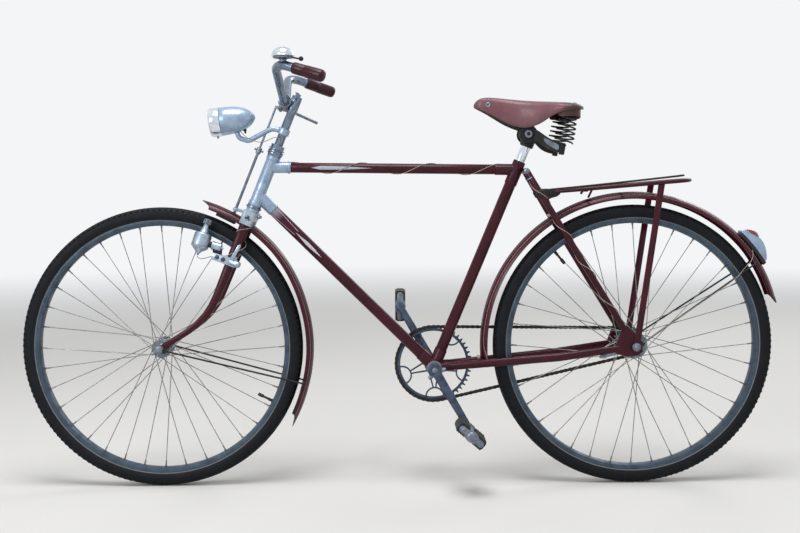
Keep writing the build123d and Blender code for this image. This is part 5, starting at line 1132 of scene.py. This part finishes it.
# %% Bell
SKYWARD = Vector((0, 0, 1))
BELL_FOOT = place(-868.1, -190, 710)
finish_turned("bell_case", [
    (-9.5, 0), (-9.5, 8), (-3.5, 8.8), (-0.6, 13), (0, 23.6), (3.2, 24.4), (4.4, 23.4), (5.6, 23), (5.6, 0),
], BELL_FOOT, SKYWARD, 40, "steering", plated_steel, "steel")
finish_turned("bell_dome", [
    (5.4, 22), (4.4, 26.6), (4.4, 28.2), (6.4, 28.5), (7.4, 27.2), (9, 27), (14, 25.6), (19, 22.2), (23, 17),
    (25.4, 11.4), (26.7, 5.6), (26.8, 3.6), (28.2, 3.4), (29, 2.4), (29, 0), (5.4, 0), (5.4, 22),
], BELL_FOOT, SKYWARD, 48, "steering", bright_chrome, "chrome", ["bell"], 40)
thumb_arm = plate("thumb_arm", [(-850, 714), (-850, 710.5), (-828, 706.5), (-828, 710)], -194.5, -185.5)
soften(thumb_arm, 0.8, 2)
thumb_pad = turned("thumb_pad", [
    (-5.6, 0), (-5, 3.2), (-2.6, 5.6), (0.6, 6), (3.6, 4.8), (5.4, 2.4), (5.8, 0),
], place(-825.5, -190, 708.6), (0.2, 0, 1), 24)
finish_piece(joined("bell_lever", [thumb_arm, thumb_pad]), "steering", black_enamel, "black_enamel")

# %% Grips
GRIP_OUTLINE = [(0, 0), (0, 12.6), (0.8, 13.6), (3, 14), (33, 14.2), (34, 13.6), (35, 14.4), (36.5, 14.9),
                (60, 15), (74, 15), (79, 14.3), (82, 12.4), (83.6, 9), (84, 5), (84, 0)]
handles = []
for side in (-1, 1):
    corner, end = place(-889.1, side * 182.5, 701), place(-773.6, side * 236, 663.5)
    along = (end - corner).normalized()
    handles.append(turned("grip", GRIP_OUTLINE, end - along * 0.079, along, 40))
finish_piece(joined("bar_grips", handles), "steering", grip_plastic, "grip_plastic", ["grips"], 40)

# %% [markdown]
# ## Pedals
# A block pedal has a barrel on the spindle, a steel plate at each end, and two moulded rubber blocks with
# ribs for the shoe. The pedal is drawn level about the spindle, and then turned and moved to its crank.

# %% Pedal rubbers and plates
RIBS, RIB_PITCH, RIB_WIDTH = 5, 5.3, 4.2
DUST_CAP = [(0, 0), (0, 11.6), (1.4, 12.2), (3.2, 12), (5.2, 9.8), (6.6, 6.6), (7, 3.8), (5.6, 3), (4.6, 2.8),
            (4.6, 0)]
CONE = [(0, 5.4), (0, 8), (3.6, 8.8), (4.2, 8.8), (4.2, 5.4), (0, 5.4)]
ROD_NUT = [(0, 0), (0, 5.6), (3, 5.6), (3.8, 4.6), (3.8, 2.6), (5.4, 2.2), (5.4, 0)]


def block_outline(way):
    """Section of one rubber block, with ribs on its upper and lower face."""
    upper = [(11, 4), (11, 9.5)]
    for index in range(RIBS):
        left = 12.2 + index * RIB_PITCH
        upper += [(left, 11.2), (left + 0.9, 13.4), (left + RIB_WIDTH - 0.9, 13.4), (left + RIB_WIDTH, 11.2)]
    upper += [(39, 9), (40, 5.5)]
    return [(way * x, z) for x, z in upper + [(x, -z) for x, z in reversed(upper)]]


def end_plate_outline():
    """A flat plate with rounded ends and a wider round middle."""
    quarter = [(37, 0), (36, 4.4), (33, 7.4), (28.5, 8.4), (18, 8.4), (13.5, 10.6), (8, 13.2), (0, 14.2)]
    upper = quarter + [(-x, z) for x, z in reversed(quarter[:-1])]
    return upper + [(x, -z) for x, z in reversed(upper[1:-1])]


def pedal(word, side, crank_turn, tilt):
    outward = (0, side, 0)
    rubbers = [plate("rubber", block_outline(way), *sorted((side * 83.2, side * 168.8))) for way in (-1, 1)]
    block = joined(word + "_pedal_rubbers", rubbers)
    metal = [soften(plate("end_plate", end_plate_outline(), *sorted((side * low, side * high))), 0.5, 2)
             for low, high in ((80.2, 83.2), (168.8, 171.8))]
    metal.append(bar("barrel", place(0, side * 81.5, 0), place(0, side * 170.5, 0), 9.5, 24))
    metal.append(turned("dust_cap", DUST_CAP, place(0, side * 171.8, 0), outward, 32))
    metal.append(turned("cone", CONE, place(0, side * 76.2, 0), outward, 24))
    for way in (-1, 1):
        metal.append(turned("nut", ROD_NUT, place(way * 24, side * 171.6, 0), outward, 6))
        metal.append(bar("rod", place(way * 24, side * 81, 0), place(way * 24, side * 171, 0), 2.6, 8))
    steel = joined(word + "_pedal_steel", metal)
    centre = BRACKET + heading(crank_turn) * CRANK_LENGTH
    centre.y = 0
    tilted = Matrix.Rotation(-math.radians(tilt), 4, "Y")
    move = Matrix.Translation(centre) @ tilted @ Matrix.Translation(-REAR_AXLE)
    for piece in (block, steel):
        piece.data.transform(move)
    finish_piece(block, word + "_pedal", pedal_rubber, "black_rubber", [word + "_pedal"], 30)
    finish_piece(steel, word + "_pedal", plated_steel, "steel", [word + "_pedal"])
    return block


pedal("left", -1, CRANK_ANGLE, -41)
print("pedal rubbers:", len(pedal("right", 1, CRANK_ANGLE + 180, 90).data.polygons), "faces")

# %% [markdown]
# ## Mudguards
# A mudguard is a strip of thin steel, rolled to a deep section with a bead along its middle, and enamelled.
# The same grid that made the saddle makes it: rows follow the wheel, and columns follow the section. Its ends
# run out in a tongue, so the columns near the edge stop earlier.

# %% Lined enamel with a painted highlight
EDGE_LINE, HALF_LINE = 0.0188, 0.0005


def lined(tree, here, spread):
    """Paints a thin pale line along both edges of a mudguard, by the distance from its middle. It stands for
    the lining and for a painted highlight along the shoulder.
    """
    aside = node(tree, "Math", 0, {0: node(tree, "SeparateXYZ", "Y", {"Vector": here})}, operation="ABSOLUTE")
    near = node(tree, "Math", 0, {0: aside, 1: EDGE_LINE, 2: HALF_LINE}, operation="COMPARE")
    return node(tree, "Mix", 2, {"Factor": near, 6: spread, 7: colour("#a98084")}, data_type="RGBA")


guard_enamel = worn_surface("lined maroon enamel", *ENAMEL, 0.24, 0.42, 1.4, 0.03, speck="#8d6f6c",
                            speck_mm=2.6, speck_share=0.08, ior=1.36, shade=lined)

# %% Mudguards
# Columns: distance from the middle, drop below the outer radius, share of the tongue's cut-back
GUARD_HALF = [(0, 0.7, 0), (2.6, 0.9, 0.05), (4.4, 1.9, 0.1), (6.5, 2.1, 0.16), (12, 4, 0.4), (18, 7.4, 0.82),
              (22, 11.8, 1), (24.3, 17.2, 1), (24.9, 18.4, 1)]
GUARD_SECTION = [(-y, drop, cut) for y, drop, cut in reversed(GUARD_HALF[1:])] + GUARD_HALF
GUARD_LIFT, LIFT_STARTS, LIFT_FULL = 5, 16, 40


def mudguard(name, centre, start, end, cut_start, cut_end, body, stands_for):
    """A guard between two angles, whose ends are cut back beside a tongue of so many millimetres. It was
    bent by hand to clear the tyre, so it rises a little where it is far from the wheel's own level."""
    count = round((end - start) / 3)
    rows = []
    for index in range(count + 1):
        share = index / count
        row = []
        for y, drop, cut in GUARD_SECTION:
            low = start + math.degrees(cut * cut_start / GUARD_RADIUS)
            high = end - math.degrees(cut * cut_end / GUARD_RADIUS)
            angle = low + share * (high - low)
            narrow = 1.0 - 0.22 * min(1, max(0, (angle - 180) / 3))
            lift = GUARD_LIFT * min(1, max(0, (abs(angle) - LIFT_STARTS) / (LIFT_FULL - LIFT_STARTS)))
            row.append(on_wheel(centre, GUARD_RADIUS + lift - drop, angle, y * narrow))
        rows.append(row)
    sheet = pressed_sheet(name, rows, place(*centre))
    return finish_piece(thickened(sheet, 1.4, 1), body, guard_enamel, "guard_paint", stands_for, 50)


front_guard = mudguard("front_guard", FRONT_WHEEL, -32.5, 74.2, 34, 24, "steering", ["front_mudguard"])
rear_guard = mudguard("rear_guard", REAR_WHEEL, 15.5, 185.6, 26, 0, "frame", ["rear_mudguard"])
print("mudguards:", len(front_guard.data.polygons), "and", len(rear_guard.data.polygons), "faces")

# %% [markdown]
# A long wire holds each side of a guard. It ends in an eye on the axle and in a small riveted lug on the
# guard.

# %% Mudguard stays
STAY_REACH, STAY_ASIDE = 372.5, 27.6
STAY_EYE = [(-1.4, 0), (-1.4, 6), (-0.8, 6.6), (0.8, 6.6), (1.4, 6), (1.4, 0)]
STAY_LUG = [(-2.4, 0), (-2.4, 4.6), (0.6, 4.6), (1.6, 3.4), (2.2, 0)]


def guard_stays(name, centre, start, degrees, axle_y, body, stands_for):
    wires = []
    for side in (-1, 1):
        foot = place(centre[0] + start[0], side * axle_y, centre[2] + start[1])
        tip = on_wheel(centre, STAY_REACH, degrees, side * STAY_ASIDE)
        wires.append(bar("stay", foot, tip, 2.3, 12))
        wires.append(turned("eye", STAY_EYE, foot, (0, side, 0), 20))
        wires.append(turned("lug", STAY_LUG, tip, (0, side, 0), 16))
    finish_piece(joined(name, wires), body, black_enamel, "black_enamel", stands_for)


guard_stays("front_guard_stays", FRONT_WHEEL, (13, -3), -14.5, 55.6, "steering", ["front_mudguard_stays"])
guard_stays("rear_guard_stays", REAR_WHEEL, (14, 9), 33.9, 62.6, "frame", ["rear_mudguard_stays"])

# %% [markdown]
# ## Rack and brake fittings
# A sprung wire loop on the rack holds a parcel down. It coils round the first cross bar and reaches to the
# rear rail. Two dark clamps tie the rack's front corners to the seat stays.

# %% Spring clip of the rack
RACK_SLOPE = (418.6 - 390.3) / (137.8 + 219)


def on_rack(x, y, rise=0.0):
    return place(x, y, 390.3 + (x + 219) * RACK_SLOPE + rise)


COIL_TURNS, COIL_STEPS = 6, 12
coil_run = []
for step in range(COIL_TURNS * COIL_STEPS + 1):
    turn = math.tau * step / COIL_STEPS
    middle = on_rack(-120, -14.0 + 28.0 * step / (COIL_TURNS * COIL_STEPS))
    coil_run.append(middle + Vector((math.sin(turn), 0, math.cos(turn))) * 0.0062)
# Columns: place along the rack, distance from the middle, height above the rack
HOOP_HALF = [(-208, 14, 5.5), (-160, 14, 6), (-120, 14, 6.5), (0, 14, 9), (110, 14, 12), (127, 13, 12.8)]
hoop = [on_rack(x, -y, rise) for x, y, rise in HOOP_HALF] + [on_rack(128.5, 0, 13)]
hoop += [on_rack(x, y, rise) for x, y, rise in reversed(HOOP_HALF)]
legs = [tube("leg", [on_rack(x, y, rise) for x, y, rise in line], 3, sides=2) for line in (
    [(-106, -13, -3), (-110, -14, -11), (-116, -13, -23)], [(-122, 13, 0), (-126, 13, -7), (-131, 12, -12)])]
wires = [tube("coil", coil_run, 2.1, resolution=2, sides=2), tube("hoop", hoop, 2.4, sides=2)]
finish_piece(joined("rack_spring", legs + wires), "frame", black_enamel, "black_enamel", ["rack_clip"])

# %% Rack clamps
CLAMP_BLOCK = [(-237, 393), (-229, 399), (-212, 398.5), (-191, 396), (-190, 385), (-199, 378.5), (-213, 375),
               (-221, 370.5), (-229, 381)]
STAY_BAND = [(-8, 7.9), (-8, 9), (-7, 9.6), (7, 9.6), (8, 9), (8, 7.9), (-8, 7.9)]
CLAMP_SCREW = [(-1, 0), (-1, 5.4), (2, 5.4), (3.4, 4.2), (3.8, 0)]
STAY_RING = [(0, 7.9), (0, 8.5), (2.4, 8.5), (2.4, 7.9), (0, 7.9)]
for side, word in SIDES:
    stay_top, stay_waist = place(-274.3, side * 24, 443.5), place(-207, side * 43, 333)
    down_stay = (stay_waist - stay_top).normalized()
    on_stay = stay_top.lerp(stay_waist, 0.52)
    band = turned("band", STAY_BAND, on_stay, down_stay, 28)
    arm = soften(plate("arm", CLAMP_BLOCK, *sorted((side * 29, side * 41.5))), 2.2, 3)
    screw = turned("screw", CLAMP_SCREW, place(-213, side * 41.5, 386.5), (0, side, 0), 12)
    finish_piece(joined("rack_clamp_" + word, [band, arm, screw]), "frame", black_enamel, "black_enamel")
    finish_turned("stay_ring_" + word, STAY_RING, stay_top.lerp(stay_waist, 0.155), down_stay, 28,
                  "frame", silver_enamel, "silver_paint")

# %% Brake shoe and rod fittings
finish_piece(copy_of("brake_shoe", 1), "steering", pedal_rubber, "black_rubber")
bolt("lever_pivot", place(-893, -6, 608), (0, -1, 0), 4.4, 6, "steering")

# %% [markdown]
# ## Lighting wires
# Thin covered wires lead from the dynamo to both lamps. One is wound round the fork blade, the top tube and
# the left seat stay, and then follows a mudguard stay. Its line is a smooth curve that the points of a
# winding lead.

# %% Windings
NEAR_SIDE = Vector((0, -1, 0))


def winding(start, end, radius_mm, pitch_mm, near_at_mm):
    """Points of a wire wound round a tube, which crosses its near side at a distance from the start."""
    along = (end - start).normalized()
    near = (NEAR_SIDE - along * along.dot(NEAR_SIDE)).normalized()
    aside = near.cross(along)
    length = (end - start).length * 1000
    count = max(2, round(length / pitch_mm * 12))
    points = []
    for step in range(count + 1):
        run = length * step / count
        turn = math.tau * (run - near_at_mm) / pitch_mm
        around = near * math.cos(turn) + aside * math.sin(turn)
        points.append(start + along * (run / 1000) + around * (radius_mm / 1000))
    return points


def lighting_wire(name, points, body):
    finish_piece(tube(name, points, 1, resolution=3, sides=2), body, wire_cover, "grip_plastic")

# %% Wires on the frame
lighting_wire("top_tube_wire", winding(place(-872, 0, 455.8), place(-322, 0, 447.8), 14.4, 174.5, 141),
              "frame")
stay_top, stay_waist, stay_foot = place(-274.3, -24.1, 443.5), place(-207, -43, 333), place(-40, -57, 61)
STAY_WINDING = (9.6, 109)
STAY_NEAR, STAY_SKIPPED = 67.6, 0.2
upper_run = (stay_waist - stay_top).length * 1000
upper = winding(stay_top.lerp(stay_waist, STAY_SKIPPED), stay_waist, *STAY_WINDING,
                STAY_NEAR - upper_run * STAY_SKIPPED)
lower = winding(stay_waist, stay_foot, *STAY_WINDING, STAY_NEAR - upper_run)
lighting_wire("seat_stay_wire", upper[:-1] + lower[1:], "frame")
along_stay = [(16, -65, 12), (90, -59, 61), (180, -49.5, 120), (245, -42.5, 163), (262, -40, 177),
              (274, -36, 192), (284, -31, 201), (293, -28.5, 208), (299, -27.2, 219), (302, -25, 230),
              (301, -21, 240)]
lighting_wire("rear_lamp_wire", [place(x, y, z) for x, y, z in along_stay], "frame")

# %% Wires on the fork
blade_wire = [(-1101, -56, 236), (-1097, -57, 229), (-1084, -56, 229), (-1070, -52, 234), (-1054, -51, 236),
              (-1038, -51, 234), (-1022, -53, 238), (-1006, -54, 244), (-994, -53, 249), (-986, -48, 253),
              (-979, -35, 260), (-986, -24, 276), (-1002, -30, 290), (-1004, -44, 297), (-996, -52, 300),
              (-982, -52, 302), (-968, -44, 304), (-962, -32, 310), (-962, -22, 322), (-960, -14, 336)]
lighting_wire("dynamo_wire", [place(x, y, z) for x, y, z in blade_wire], "steering")
lamp_wire = [(-995, -4, 548), (-985, -8, 536), (-966, -10, 524), (-944, -10, 519), (-925, -11, 524),
             (-905, -16, 534), (-893, -17, 528), (-899, -17, 505), (-906, -18, 488)]
lighting_wire("headlamp_wire", [place(x, y, z) for x, y, z in lamp_wire], "steering")

# %% [markdown]
# ## Camera, light and floor
# The camera stands where the photographer stood: three metres off the left side and three quarters of a metre
# above the floor, looking down by four degrees. Soft daylight comes from above, and the floor is plain and
# pale.

# %% Camera
bpy.ops.object.camera_add(location=(-0.37285, -2.99195, -0.21386))
camera = bpy.context.object
camera.name = "camera"
camera.rotation_euler = Euler([math.radians(value) for value in (86.142, 0.330, -0.393)])
camera.data.sensor_width = 36
camera.data.lens = 52.88
camera.data.clip_end = 100
bpy.context.scene.camera = camera

# %% Floor
BACKDROP = "#f4f5f7"
bpy.ops.mesh.primitive_plane_add(size=60, location=(0, 0, place(0, 0, GROUND).z))
floor = bpy.context.object
floor.name = "floor"
pale, tree, shader, here = blank_material("pale studio floor")
set_inputs(tree, shader, {"Base Color": colour("#dddcd9"), "Roughness": 0.9})
far = node(tree, "VectorMath", "Value", {0: here}, operation="LENGTH")
fading = node(tree, "MapRange", "Result", {"Value": far, "From Min": 2.2, "From Max": 9},
              interpolation_type="SMOOTHSTEP")


def seen_plainly(tree):
    """One for rays that come from the camera, through glass or off a glossy surface."""
    rays = node(tree, "LightPath", None)
    seen = node(tree, "Math", 0, {0: rays["Is Camera Ray"], 1: rays["Is Transmission Ray"]},
                operation="MAXIMUM")
    return node(tree, "Math", 0, {0: seen, 1: rays["Is Glossy Ray"]}, operation="MAXIMUM")


amount = node(tree, "Math", 0, {0: seen_plainly(tree), 1: fading}, operation="MULTIPLY")
white = node(tree, "Emission", 0, {"Color": colour(BACKDROP)})
blend = node(tree, "MixShader", 0, {0: amount, 1: shader.outputs[0], 2: white})
set_inputs(tree, tree.nodes["Material Output"], {"Surface": blend})
floor.data.materials.append(pale)

# %% World and lamps
world = bpy.data.worlds.new("daylight")
bpy.context.scene.world = world
world.use_nodes = True
tree = world.node_tree
strength = node(tree, "MapRange", "Result", {"Value": seen_plainly(tree), "To Min": 0.36, "To Max": 1})
set_inputs(tree, tree.nodes["Background"], {"Color": colour(BACKDROP), "Strength": strength})
# Columns: name, place, where it points, size in metres, power in watts
for name, where, towards, size, power in [
    ("sky", (-0.5, -1.2, 4.2), (-0.3, 0, -0.6), 2.6, 190),
    ("front_light", (-3.2, -3.4, 1.2), (-0.3, 0, -0.5), 1.6, 60),
    ("back_light", (2.2, 3.2, 2), (-0.3, 0, -0.5), 2, 40),
]:
    bpy.ops.object.light_add(type="AREA", location=where)
    lamp = bpy.context.object
    lamp.name = name
    lamp.data.size = size
    lamp.data.energy = power
    lamp.rotation_euler = (Vector(towards) - Vector(where)).to_track_quat("-Z", "Y").to_euler()
bpy.context.scene.view_settings.view_transform = "Standard"

# %% [markdown]
# The last cell prints the number of faces of each finished piece.

# %% Finish
print("pieces:", finished)
